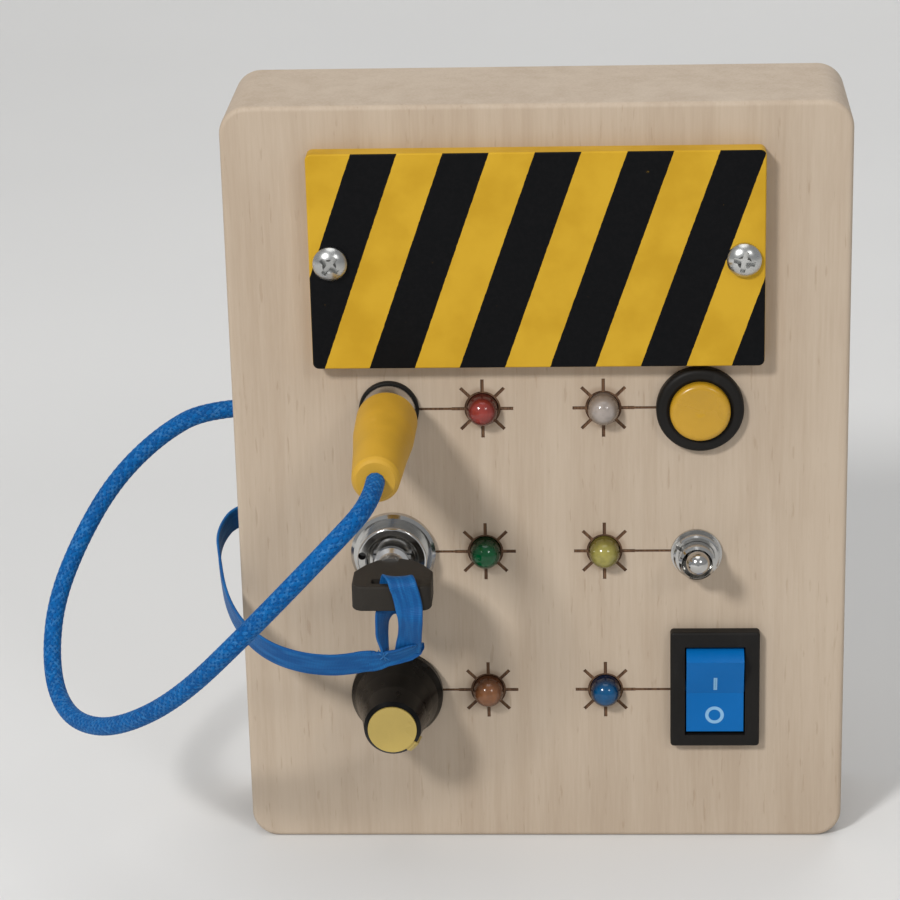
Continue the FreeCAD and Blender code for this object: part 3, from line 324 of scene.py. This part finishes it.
def eased(rows, step):
    """Rows of numbers read along a smooth line through them, in even steps of the first
    three."""
    found = []
    for i in range(len(rows) - 1):
        p = [rows[max(i - 1, 0)], rows[i], rows[i + 1], rows[min(i + 2, len(rows) - 1)]]
        for k in range(12):
            t = k / 12
            found.append([0.5 * (2 * b + (c - a) * t + (2 * a - 5 * b + 4 * c - d) * t * t
                                 + (3 * b - a - 3 * c + d) * t ** 3)
                          for a, b, c, d in zip(*p)])
    found.append(list(rows[-1]))
    far = walked([Vector(r[:3]) for r in found])
    count = round(far[-1] / step)
    even, k = [], 0
    for i in range(count + 1):
        at = far[-1] * i / count
        while k < len(far) - 2 and far[k + 1] < at:
            k += 1
        t = min(max((at - far[k]) / max(far[k + 1] - far[k], 1e-9), 0), 1)
        even.append([u + (v - u) * t for u, v in zip(found[k], found[k + 1])])
    return even


def strap(name, rows):
    """A ribbon through rows of (x, height in front of the face, z, width, turn)."""
    rows = eased(rows, RIBBON_STEP / MM)
    points = [Vector((x * MM, FACE - h * MM, z * MM)) for x, h, z, _, _ in rows]
    acrosses = [Vector((math.cos(math.radians(turn)), math.sin(math.radians(turn)), 0))
                for _, _, _, _, turn in rows]
    far = walked(points)

    def shape(a, t, s, k):
        a, t = ribs(a, t, s, k)
        return a * rows[place[s]][3] * MM / RIBBON_W, t

    place = {s: i for i, s in enumerate(far)}
    return swept(name, points, flat_ring(RIBBON_W, RIBBON_T * THIN), acrosses, shape)


def loop_piece():
    """Up through the bow's slot, over its bar, and down in front of it to the fold."""
    x, w, top, low, near, front, rear = -23.6, 4.4, 54.25, 49.95, 17.0, 19.95, 17.1
    return strap("ribbon_loop_woven", [
        (x - 1.5, near - 0.2, 41.7, 2.0, 60), (x - 1.5, near, 42.6, 2.0, 60),
        (x - 1.8, near, 45.0, 3.4, 62), (x - 1.7, near + 0.1, 47.0, 4.0, 62),
        (x - 1.3, rear, low - 1.4, 4.2, 45), (x - 0.6, rear, low - 0.2, w, 12),
        (x, rear, low + 0.8, w, 0), (x + 0.3, rear, top - 0.3, w, 0),
        (x + 0.6, rear + 0.2, top + 0.6, w, 0), (x + 1.1, rear + 1.0, top + 1.05, w, 0),
        (x + 1.6, front - 0.9, top + 1.0, w, 0), (x + 2.0, front - 0.05, top + 0.3, w, 0),
        (x + 2.4, front, top - 1.1, w, 0), (x + 2.8, front, low + 1.1, w, 0),
        (x + 3.0, front + 0.3, low - 0.9, w * 0.95, -12),
        (x + 2.9, front - 0.6, 46.8, w * 0.92, -20), (x + 2.7, near + 1.2, 44.8, w * 0.92, -18),
        (x + 2.45, near + 0.3, 43.3, w * 0.94, -8), (x + 2.2, near - 0.5, 41.8, w * 0.96, 0),
    ])


loop = loop_piece()
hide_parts("ribbon_loop")


def along(marks, x):
    """A value read between (x, value) marks."""
    for (x0, z0), (x1, z1) in zip(marks, marks[1:]):
        if x <= x1:
            return z0 + (z1 - z0) * max(0, x - x0) / (x1 - x0)
    return marks[-1][1]


def fold_piece():
    """The tail's end turns upward: its lower edge climbs to the right, and the stretch
    between that rim and the slanting crease faces down."""
    parts = [i / FOLD_STEPS for i in range(FOLD_STEPS + 1)]
    xs = [FOLD_LEFT + (FOLD_RIGHT - FOLD_LEFT) * done for done in parts]
    rows = [(along(RIM, x), along(CREASE, x)) for x in xs]
    points = [Vector((x * MM, FACE - FOLD_H * MM, (low + high) / 2 * MM))
              for x, (low, high) in zip(xs, rows)]
    place = {far: i for i, far in enumerate(walked(points))}

    def shape(a, t, s, k):
        i = place[s]
        low, high = rows[i]
        share = max(0, (parts[i] - FLAT_SHARE) / (1 - FLAT_SHARE)) ** 0.7
        part = a / (RIBBON_W / 2)
        swell = (0.05 if t > 0 else -0.05) * MM
        a, t = ribs(a, t, s, k)
        slope = MM * share * (0.25 + 1.15 * part)
        rim = 0.75 * MM * share * max(0, (-part - 0.78) / 0.22)
        return a * (high - low) * MM / RIBBON_W, t + swell + slope + rim

    return swept("ribbon_knot_woven", points, flat_ring(RIBBON_W, RIBBON_T * THIN),
                 [leaning(LEAN * (1 - done)) for done in parts], shape)


fold = fold_piece()
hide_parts("ribbon_knot")
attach(fold, "ribbon")


def stitches():
    """Thread stitches that cross where the rear strand is sewn to the tail."""
    tree = tree_of(fold)
    mesh = bmesh.new()
    for x0, z0, x1, z1 in STITCHES:
        line = []
        for k in range(9):
            t = k / 8
            x, z = (x0 + (x1 - x0) * t) * MM, (z0 + (z1 - z0) * t) * MM
            hit = tree.ray_cast(Vector((x, -0.1, z)), Vector((0, 1, 0)))[0]
            y = hit.y if hit else FACE - (FOLD_H + 0.3) * MM
            line.append(Vector((x, y - 0.05 * MM + (0.14 * MM if k in (0, 8) else 0), z)))
        r = THREAD_R * MM
        rings = []
        for p, way in zip(line, headings(line)):
            side = way.cross(Vector((0, 1, 0))).normalized()
            up = side.cross(way)
            rings.append([mesh.verts.new(p + side * r * math.cos(a) + up * r * math.sin(a))
                          for a in (math.pi * k / 4 for k in range(8))])
        for a, b in zip(rings, rings[1:]):
            for k in range(8):
                mesh.faces.new((a[k], a[(k + 1) % 8], b[(k + 1) % 8], b[k])).smooth = True
        mesh.faces.new(rings[0][::-1])
        mesh.faces.new(rings[-1])
    bmesh.ops.recalc_face_normals(mesh, faces=mesh.faces)
    return new_piece("ribbon_stitches", mesh)


thread = stitches()
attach(thread, "ribbon")
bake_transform(loop)
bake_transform(tail)


# Surfaces

def socket(tree, target, value):
    if isinstance(value, bpy.types.NodeSocket):
        tree.links.new(value, target)
    else:
        target.default_value = value


class Surface:
    """A material and short words for its nodes."""

    def __init__(self, name, **shader):
        self.made = bpy.data.materials.new(name)
        self.made.use_nodes = True
        self.tree = self.made.node_tree
        self.shader = self.tree.nodes["Principled BSDF"]
        for key, value in shader.items():
            self.set(key.replace("_", " "), value)
        self.place = self.add("TexCoord").outputs["Object"]

    def set(self, key, value):
        socket(self.tree, self.shader.inputs[key], value)

    def add(self, kind, inputs=None, **settings):
        node = self.tree.nodes.new("ShaderNode" + kind)
        for key, value in settings.items():
            setattr(node, key, value)
        for key, value in (inputs or {}).items():
            socket(self.tree, node.inputs[key], value)
        return node

    def math(self, kind, a, b=0.0, c=0.0):
        return self.add("Math", {0: a, 1: b, 2: c}, operation=kind).outputs[0]

    def length(self, a, b):
        return self.math("SQRT", self.math("MULTIPLY_ADD", a, a, self.math("MULTIPLY", b, b)))

    def axes(self, place=None):
        split = self.add("SeparateXYZ", {0: place or self.place})
        return split.outputs[0], split.outputs[1], split.outputs[2]

    def stretched(self, sx, sy, sz, place=None):
        return self.add("Mapping", {0: place or self.place, "Scale": (sx, sy, sz)}).outputs[0]

    def noise(self, scale, detail=3.0, place=None, rough=0.5):
        return self.add("TexNoise", {"Vector": place or self.place, "Scale": scale,
                                     "Detail": detail, "Roughness": rough}).outputs[0]

    def step(self, value, low, high, a=0.0, b=1.0):
        return self.add("MapRange", {0: value, 1: low, 2: high, 3: a, 4: b},
                        interpolation_type="SMOOTHSTEP").outputs[0]

    def span(self, value, low, high, a, b):
        return self.add("MapRange", {0: value, 1: low, 2: high, 3: a, 4: b}).outputs[0]

    def mix(self, share, a, b, kind="MIX"):
        node = self.add("Mix", data_type="RGBA", blend_type=kind)
        for index, value in ((0, share), (6, a), (7, b)):
            socket(self.tree, node.inputs[index], value)
        return node.outputs[2]

    def bump(self, height, distance, strength=1.0, normal=None):
        inputs = {"Height": height, "Distance": distance, "Strength": strength}
        if normal is not None:
            inputs["Normal"] = normal
        return self.add("Bump", inputs).outputs[0]


def linear(r, g, b):
    """A colour given in the picture's own values, from 0 to 255."""
    found = []
    for v in (r, g, b):
        v /= 255
        found.append(v / 12.92 if v <= 0.04045 else ((v + 0.055) / 1.055) ** 2.4)
    return (*found, 1.0)


def moulded(name, colour, rough=0.4, grain=2500.0, depth=0.01, vary=0.12, wear=0.1, **shader):
    """Moulded or painted: a fine skin, slow changes in colour and gloss, small scuffs."""
    s = Surface(name, **shader)
    slow = s.noise(90.0, 4.0)
    dark = tuple(c * (1 - vary) for c in colour[:3]) + (1.0,)
    light = tuple(min(1, c * (1 + vary) + 0.002) for c in colour[:3]) + (1.0,)
    tone = s.mix(s.span(slow, 0.3, 0.7, 0, 1), dark, light)
    scuff = s.step(s.noise(420.0, 6.0, s.stretched(1, 1, 0.25), 0.62), 0.60, 0.72)
    pale = tuple(min(1, c * 1.5 + 0.06) for c in colour[:3]) + (1.0,)
    s.set("Base Color", s.mix(s.math("MULTIPLY", scuff, wear), tone, pale))
    fine = s.noise(grain, 2.0)
    gloss = s.math("ADD", s.span(slow, 0.3, 0.7, rough * 0.9, rough * 1.15),
                   s.math("MULTIPLY", scuff, 0.18))
    s.set("Roughness", gloss)
    s.set("Normal", s.bump(fine, depth * MM))
    return s


def metal(name, colour, rough=0.2, grain=(1, 1, 1), depth=0.004, tarnish=0.25, dot=None):
    """Plated or bare metal with fine tool marks and a faint change in its shine. dot is
    the (x, z, radius) of a small recess filled with black paint."""
    s = Surface(name, Metallic=1.0)
    slow = s.noise(160.0, 5.0)
    dull = tuple(c * (1 - tarnish) for c in colour[:3]) + (1.0,)
    skin = s.mix(s.step(slow, 0.42, 0.68), colour, dull)
    if dot:
        x, y, z = s.axes()
        side, rise = s.math("SUBTRACT", x, dot[0]), s.math("SUBTRACT", z, dot[1])
        inside = s.math("LESS_THAN", s.length(side, rise), dot[2])
        skin = s.mix(inside, skin, linear(14, 12, 11))
        s.set("Metallic", s.math("SUBTRACT", 1.0, inside))
    s.set("Base Color", skin)
    marks = s.noise(3000.0, 3.0, s.stretched(*grain))
    s.set("Roughness", s.math("ADD", s.span(slow, 0.3, 0.7, rough * 0.8, rough * 1.3),
                              s.math("MULTIPLY", marks, 0.08)))
    s.set("Normal", s.bump(marks, depth * MM))
    return s


def wood(name, tone, dark, marks):
    """Pale close-grained wood, its grain upright, with burnt marks sunk in the face."""
    s = Surface(name)
    x, y, z = s.axes()
    sway = s.noise(25.0, 2.0, s.stretched(1, 1, 0.15))
    along = s.add("CombineXYZ", {0: s.math("MULTIPLY_ADD", sway, 0.006, x), 1: y,
                                 2: s.math("MULTIPLY", z, 0.05)}).outputs[0]
    bands = s.noise(260.0, 5.0, along, 0.6)
    fibres = s.noise(2600.0, 3.0, along, 0.6)
    flecks = s.step(s.noise(1500.0, 2.0, s.stretched(1, 1, 0.13)), 0.64, 0.74)
    cloud = s.noise(30.0, 3.0)
    share = s.math("ADD", s.math("MULTIPLY", bands, 0.55), s.math("MULTIPLY", fibres, 0.25))
    share = s.math("MULTIPLY_ADD", cloud, 0.35, share)
    colour = s.mix(s.step(share, 0.40, 0.78), tone, dark)
    colour = s.mix(s.math("MULTIPLY", flecks, 0.20), colour, linear(128, 98, 66))
    depth = s.math("MULTIPLY_ADD", bands, 0.5, s.math("MULTIPLY", fibres, 0.5))
    depth = s.math("SUBTRACT", depth, s.math("MULTIPLY", flecks, 0.4))
    rough = s.span(fibres, 0.3, 0.7, 0.52, 0.66)
    if marks:
        sunk = s.math("MULTIPLY", s.step(y, FACE + 0.02 * MM, FACE + 0.06 * MM),
                      s.math("LESS_THAN", y, FACE + 1.2 * MM))
        off_middle = s.math("ABSOLUTE", s.math("SUBTRACT", z, ROW_LOW + ROW_STEP))
        inside = s.math("MULTIPLY", s.math("LESS_THAN", s.math("ABSOLUTE", x), MARKS_X),
                        s.math("LESS_THAN", off_middle, MARKS_Z))
        sunk = s.math("MULTIPLY", sunk, inside)
        apart = s.math("MULTIPLY_ADD", s.math("SUBTRACT", fibres, 0.5), 0.0006,
                       lamp_places(s, x, z))
        halo = s.math("MULTIPLY", s.step(apart, 0.0031, 0.0040, 1.0, 0.0), inside)
        colour = s.mix(s.math("MULTIPLY", halo, 0.35), colour, linear(126, 96, 70))
        soot = s.mix(s.step(fibres, 0.35, 0.65), linear(88, 63, 46), linear(118, 88, 64))
        colour = s.mix(sunk, colour, soot)
        rough = s.math("MULTIPLY_ADD", sunk, 0.25, rough)
    s.set("Base Color", colour)
    s.set("Roughness", rough)
    s.set("Specular IOR Level", 0.35)
    s.set("Normal", s.bump(depth, 0.05 * MM, 0.6))
    return s


STRIPE_W, STRIPE_STEP = 7.3 * MM, 14.5 * MM
STRIPE_SLANT = 0.354         # sideways for each unit down
COVER_LEFT, COVER_TOP = -29.0 * MM, 121.1 * MM
COVER_FRONT = FACE - 3.24 * MM


def hazard(name):
    """Painted board: slanted black stripes on the front, the yellow going over the edges."""
    s = Surface(name)
    x, y, z = s.axes()
    slow = s.noise(120.0, 4.0)
    fine = s.noise(1800.0, 3.0)
    yellow = s.mix(s.step(slow, 0.35, 0.7), linear(200, 158, 42), linear(188, 146, 34))
    black = s.mix(s.step(fine, 0.35, 0.7), linear(3, 4, 6), linear(8, 8, 10))
    ragged = s.math("MULTIPLY", s.math("SUBTRACT", s.noise(1400.0, 2.0), 0.5), 0.16 * MM)
    run = s.math("ADD", s.math("SUBTRACT", x, COVER_LEFT), s.math(
        "MULTIPLY", s.math("SUBTRACT", COVER_TOP, z), STRIPE_SLANT))
    run = s.math("FLOORED_MODULO", s.math("ADD", run, ragged), STRIPE_STEP)
    band = s.math("MULTIPLY", s.math("LESS_THAN", run, STRIPE_W),
                  s.math("LESS_THAN", y, COVER_FRONT))
    chips = s.step(s.noise(700.0, 6.0, s.place, 0.7), 0.69, 0.75)
    band = s.math("MULTIPLY", band, s.math("SUBTRACT", 1.0, s.math("MULTIPLY", chips, 0.3)))
    s.set("Base Color", s.mix(band, yellow, black))
    s.set("Specular IOR Level", 0.12)
    s.set("Roughness", s.math("ADD", s.span(slow, 0.3, 0.7, 0.34, 0.48),
                              s.math("MULTIPLY", band, 0.06)))
    skin = s.math("ADD", s.math("MULTIPLY", band, 0.8), s.math("MULTIPLY", fine, 0.35))
    s.set("Normal", s.bump(skin, 0.02 * MM))
    return s


def lamp_places(s, x, z, drop=0.0):
    """How far each point is from the axis of the nearest of the six lamps."""
    off_x = s.math("SUBTRACT", s.math("ABSOLUTE", s.math("SUBTRACT", x, LAMP_MID)), LAMP_SIDE)
    from_low = s.math("SUBTRACT", z, ROW_LOW - ROW_STEP / 2 - drop)
    off_z = s.math("SUBTRACT", s.math("FLOORED_MODULO", from_low, ROW_STEP), ROW_STEP / 2)
    return s.length(off_x, off_z)


def lens(name, colour, deep, clear=0.22):
    """A tinted lamp, lighter where it is seen straight through; painted shade darkens it to the
    deep colour round its rim, standing in for the dark hole seen through the lens.
    """
    s = Surface(name, Transmission_Weight=clear, IOR=1.46, Specular_IOR_Level=0.35,
                Coat_Weight=0.3, Coat_Roughness=0.04)
    x, y, z = s.axes()
    mist = s.noise(900.0, 3.0)
    shade = tuple(c * 0.78 for c in colour[:3]) + (1.0,)
    tone = s.mix(s.step(mist, 0.3, 0.75), colour, shade)
    # painted shade: the rim turns to the deep colour where the dark hole shows through the
    # lens, centred 0.25 mm above the lamp's axis
    rim = s.step(lamp_places(s, x, z, -0.25 * MM), 1.3 * MM, 2.4 * MM)
    s.set("Base Color", s.mix(rim, tone, deep))
    s.set("Roughness", s.span(mist, 0.3, 0.7, 0.10, 0.20))
    s.set("Normal", s.bump(s.noise(1500.0, 2.0), 0.006 * MM))
    return s


def braided(name):
    """Braid yarns: each strand its own shade of blue, fine filaments along it, painted shade
    where the braid sinks between strands, and pale painted glints on the strands' crowns.
    """
    s = Surface(name, Sheen_Weight=0.06, Sheen_Tint=(0.2, 0.5, 1.0, 1),
                Specular_IOR_Level=0.12)
    uv = s.add("UVMap", uv_map="lay").outputs[0]
    far, around, _ = s.axes(uv)
    turn = s.math("MULTIPLY", around, STRANDS / (2 * math.pi * CORD_R))
    run = s.math("DIVIDE", far, BRAID_PITCH)
    a = s.math("ADD", turn, run)
    b = s.math("SUBTRACT", turn, run)

    def family(main, other, sign):
        part = s.math("SUBTRACT", s.math("MULTIPLY", s.math("FRACT", main), 2.0), 1.0)
        high = s.math("SQRT", s.math("MAXIMUM", s.math(
            "SUBTRACT", 1.0, s.math("MULTIPLY", part, part)), 0.0))
        odd = s.math("SUBTRACT", 1.0, s.math("MULTIPLY", s.math(
            "FLOORED_MODULO", s.math("FLOOR", main), 2.0), 2.0))
        lift = s.math("MULTIPLY", s.math("SINE", s.math("MULTIPLY", other, math.pi)), odd)
        threads = s.math("ABSOLUTE", s.math("SINE", s.math("MULTIPLY", main, 4 * math.pi)))
        return s.math("MULTIPLY_ADD", lift, WEAVE_LIFT * sign, high), threads

    high_a, threads_a = family(a, b, 1)
    high_b, threads_b = family(b, a, -1)
    top = s.math("GREATER_THAN", high_a, high_b)
    high = s.math("MAXIMUM", high_a, high_b)
    threads = s.math("ADD", s.math("MULTIPLY", top, threads_a), s.math(
        "MULTIPLY", s.math("SUBTRACT", 1.0, top), threads_b))
    number = s.math("ADD", s.math("MULTIPLY", top, s.math("ADD", s.math("FLOOR", a), 3.0)),
                    s.math("MULTIPLY", s.math("SUBTRACT", 1.0, top),
                           s.math("ADD", s.math("FLOOR", b), 2.0)))
    strand = s.add("TexWhiteNoise", {"W": number}, noise_dimensions="1D").outputs[0]
    blue = s.mix(strand, linear(0, 74, 136), linear(1, 92, 158))
    # painted shade: darker blue where the braid sinks between its strands
    blue = s.mix(s.step(high, 0.25, 0.85), linear(1, 40, 84), blue)
    # painted glints: pale specks where the filaments crest on top of the strands, standing in
    # for light caught by them
    painted_glint = s.math("MULTIPLY", s.math("MULTIPLY", s.step(threads, 0.80, 0.97), s.step(
        high, 0.8, 1.1)), s.step(s.noise(1300.0, 2.0), 0.46, 0.60))
    s.set("Base Color", s.mix(s.math("MULTIPLY", painted_glint, 0.42), blue, linear(120, 186, 230)))
    s.set("Roughness", s.span(threads, 0, 1, 0.52, 0.7))
    s.set("Normal", s.bump(s.math("MULTIPLY_ADD", threads, 0.3, high), 0.06 * MM))
    return s


def woven(name):
    """Satin ribbon: fine threads along it, faint ribs across, painted shade in the weave's low
    places.
    """
    s = Surface(name, Sheen_Weight=0.06, Sheen_Tint=(0.3, 0.6, 1.0, 1),
                Specular_IOR_Level=0.2)
    uv = s.add("UVMap", uv_map="lay").outputs[0]
    far, around, _ = s.axes(uv)
    rib = s.math("SINE", s.math("MULTIPLY", far, 2 * math.pi / (0.25 * MM)))
    cross = s.math("SINE", s.math("MULTIPLY", around, 2 * math.pi / (0.20 * MM)))
    weave = s.math("MULTIPLY_ADD", cross, 0.8, rib)
    slow = s.noise(160.0, 4.0)
    silk = s.noise(1400.0, 3.0, s.add("CombineXYZ", {
        0: s.math("MULTIPLY", far, 0.12), 1: around}).outputs[0])
    blue = s.mix(s.step(slow, 0.35, 0.7), linear(24, 106, 168), linear(14, 92, 152))
    blue = s.mix(s.step(silk, 0.40, 0.66), linear(8, 78, 138), blue)
    # painted shade: darker blue in the low places of the weave
    blue = s.mix(s.step(weave, -1.5, 0.2), linear(8, 70, 128), blue)
    s.set("Base Color", blue)
    s.set("Roughness", s.span(silk, 0.3, 0.7, 0.56, 0.42))
    s.set("Normal", s.bump(weave, 0.01 * MM))
    return s


FINISHES = {
    "case_wood": wood("case_wood", linear(188, 171, 151), linear(174, 155, 134), True),
    "back_wood": wood("back_wood", linear(186, 166, 140), linear(166, 144, 116), False),
    "cover_paint": hazard("cover_paint"),
    "screw_steel": metal("screw_steel", (0.60, 0.60, 0.58, 1), 0.22),
    "rear_screw_steel": metal("rear_screw_steel", (0.60, 0.60, 0.58, 1), 0.35),
    "holder_plastic": moulded("holder_plastic", linear(32, 32, 33), 0.5),
    "cell_jacket": moulded("cell_jacket", linear(60, 66, 72), 0.28, 900.0),
    "contact_metal": metal("contact_metal", (0.72, 0.70, 0.64, 1), 0.3),
    "foam": moulded("foam", linear(70, 70, 72), 0.9, 1400.0, 0.2),
    "led_red_lens": lens("led_red_lens", linear(158, 62, 54), linear(76, 20, 16)),
    "led_clear_lens": lens("led_clear_lens", linear(186, 174, 165), linear(140, 124, 110), 0.3),
    "led_green_lens": lens("led_green_lens", linear(0, 92, 48), linear(0, 38, 18), 0.06),
    "led_yellow_lens": lens("led_yellow_lens", linear(172, 162, 84), linear(108, 98, 38)),
    "led_orange_lens": lens("led_orange_lens", linear(152, 100, 64), linear(92, 54, 32)),
    "led_blue_lens": lens("led_blue_lens", linear(4, 78, 124), linear(2, 18, 42), 0.06),
    "lead_metal": metal("lead_metal", (0.75, 0.74, 0.70, 1), 0.35),
    "resistor_body": moulded("resistor_body", linear(205, 180, 140), 0.4),
    "signal_wire": moulded("signal_wire", linear(222, 196, 60), 0.45),
    "supply_wire": moulded("supply_wire", linear(190, 34, 30), 0.45),
    "return_wire": moulded("return_wire", linear(34, 34, 36), 0.45),
    "tab_brass": metal("tab_brass", (0.78, 0.60, 0.30, 1), 0.3),
    "chrome_trim": metal("chrome_trim", (0.56, 0.55, 0.53, 1), 0.11, (1, 1, 1), 0.002, 0.2,
                         (-0.02932, 0.05327, 0.00066)),
    "black_matte": moulded("black_matte", linear(24, 22, 20), 0.5, Specular_IOR_Level=0.16),
    "black_gloss": moulded("black_gloss", linear(10, 9, 8), 0.28, 1200.0, 0.006,
                           Specular_IOR_Level=0.15),
    "nut_steel": metal("nut_steel", (0.55, 0.54, 0.52, 1), 0.24),
    "boot_yellow": moulded("boot_yellow", linear(190, 146, 36), 0.55, 1800.0, 0.02),
    "cord_blue": braided("cord_blue"),
    "ribbon_blue": woven("ribbon_blue"),
    "key_steel": metal("key_steel", (0.74, 0.73, 0.71, 1), 0.2, (1, 0.1, 1)),
    "cap_yellow": moulded("cap_yellow", linear(194, 168, 88), 0.3),
    "button_yellow": moulded("button_yellow", linear(186, 142, 30), 0.28),
    "spring_steel": metal("spring_steel", (0.62, 0.62, 0.60, 1), 0.3),
    "rocker_blue": moulded("rocker_blue", linear(0, 98, 168), 0.3, 1200.0, 0.006, 0.06, 0.02,
                           Specular_IOR_Level=0.16),
    "mark_white": moulded("mark_white", linear(128, 176, 212), 0.4),
    "thread_blue": moulded("thread_blue", linear(28, 104, 164), 0.6, 2600.0, 0.02),
    "bow_plastic": moulded("bow_plastic", linear(42, 38, 33), 0.6, 900.0, 0.03, 0.2, 0.15,
                           Specular_IOR_Level=0.2),
}


def dress(piece, finish):
    piece.data.materials.clear()
    piece.data.materials.append(FINISHES[finish].made)


for name, node in NODES.items():
    for place in node.material_slots:
        place.material = FINISHES[place.material.name.split(".")[0]].made
for place in NODES["key_bow"].material_slots:
    place.material = FINISHES["bow_plastic"].made
dress(cord, "cord_blue")
for piece in (tail, loop, fold):
    dress(piece, "ribbon_blue")
dress(thread, "thread_blue")


# The two marks on the rocker

def laid_on(name, outline, inner, node, proud):
    """A thin closed mark on a CAD face, half sunk in it: two (x, z) rings of the same
    count, laid along +Y."""
    tree = tree_of(NODES[node])
    mesh = bmesh.new()
    rings = []
    for ring, deep in ((outline, -proud), (inner, -proud), (inner, proud), (outline, proud)):
        row = []
        for x, z in ring:
            hit = tree.ray_cast(Vector((x, -0.1, z)), Vector((0, 1, 0)))[0]
            row.append(mesh.verts.new((x, hit.y + deep, z)))
        rings.append(row)
    count = len(outline)
    for near, far in zip(rings, rings[1:] + rings[:1]):
        for k in range(count):
            j = (k + 1) % count
            mesh.faces.new((near[k], near[j], far[j], far[k]))
    bmesh.ops.recalc_face_normals(mesh, faces=mesh.faces)
    return new_piece(name, mesh)


MARK_X, OFF_Z, ON_Z = 28.54, 23.45, 29.47     # in millimetres
MARK_PROUD = 0.03 * MM


def ring_of(x, z, rx, rz, count=48):
    return [((x + rx * math.cos(2 * math.pi * k / count)) * MM,
             (z + rz * math.sin(2 * math.pi * k / count)) * MM) for k in range(count)]


def bar_of(x, z, half_w, half_h):
    return [((x + sx * half_w) * MM, (z + sz * half_h) * MM)
            for sx, sz in ((-1, -1), (1, -1), (1, 1), (-1, 1))]


MARKS = [
    laid_on("mark_off", ring_of(MARK_X, OFF_Z, 1.55, 1.55), ring_of(MARK_X, OFF_Z, 1.0, 1.0),
            "rocker_paddle", MARK_PROUD),
    laid_on("mark_on", bar_of(MARK_X + 0.1, ON_Z, 0.3, 1.3),
            bar_of(MARK_X + 0.1, ON_Z, 0.02, 1.0), "rocker_paddle", MARK_PROUD)]
for piece in MARKS:
    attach(piece, "rocker")
    dress(piece, "mark_white")


# Floor, backdrop and light

FLOOR_FRONT, FLOOR_HALF = -1.6, 2.2
BEND_Y, BEND_R, BEND_STEPS = 0.55, 0.5, 12    # where the floor curves up into the backdrop
WALL_TOP = 2.2
CENTRE = (0, 0, 0.06)


def studio():
    mesh = bmesh.new()
    profile = [(FLOOR_FRONT, 0.0), (BEND_Y, 0.0)]
    for k in range(1, BEND_STEPS + 1):
        a = math.radians(90 * k / BEND_STEPS)
        profile.append((BEND_Y + BEND_R * math.sin(a), BEND_R - BEND_R * math.cos(a)))
    profile.append((BEND_Y + BEND_R, WALL_TOP))
    rows = [[mesh.verts.new((x, y, z)) for y, z in profile] for x in (-FLOOR_HALF, FLOOR_HALF)]
    for k in range(len(profile) - 1):
        mesh.faces.new((rows[0][k], rows[1][k], rows[1][k + 1], rows[0][k + 1])).smooth = True
    made = new_piece("backdrop", mesh)
    s = Surface("backdrop")
    s.set("Base Color", s.mix(s.noise(6.0, 2.0), linear(222, 221, 219), linear(214, 213, 211)))
    s.set("Roughness", 0.8)
    made.data.materials.append(s.made)
    world = bpy.data.worlds.new("studio")
    world.use_nodes = True
    world.node_tree.nodes["Background"].inputs[0].default_value = (0.9, 0.92, 0.95, 1)
    world.node_tree.nodes["Background"].inputs[1].default_value = 0.40
    scene.world = world
    lamp("key", (-0.60, -0.98, 0.90), CENTRE, 0.22, 12.5)
    lamp("fill", (0.66, -1.0, 0.85), CENTRE, 0.3, 2.4)
    lamp("top", (0.0, -0.1, 1.3), CENTRE, 0.8, 2.4)
    lamp("back", (0.30, 0.85, 0.90), CENTRE, 0.7, 2.2)


studio()
scene.view_settings.view_transform = "Standard"
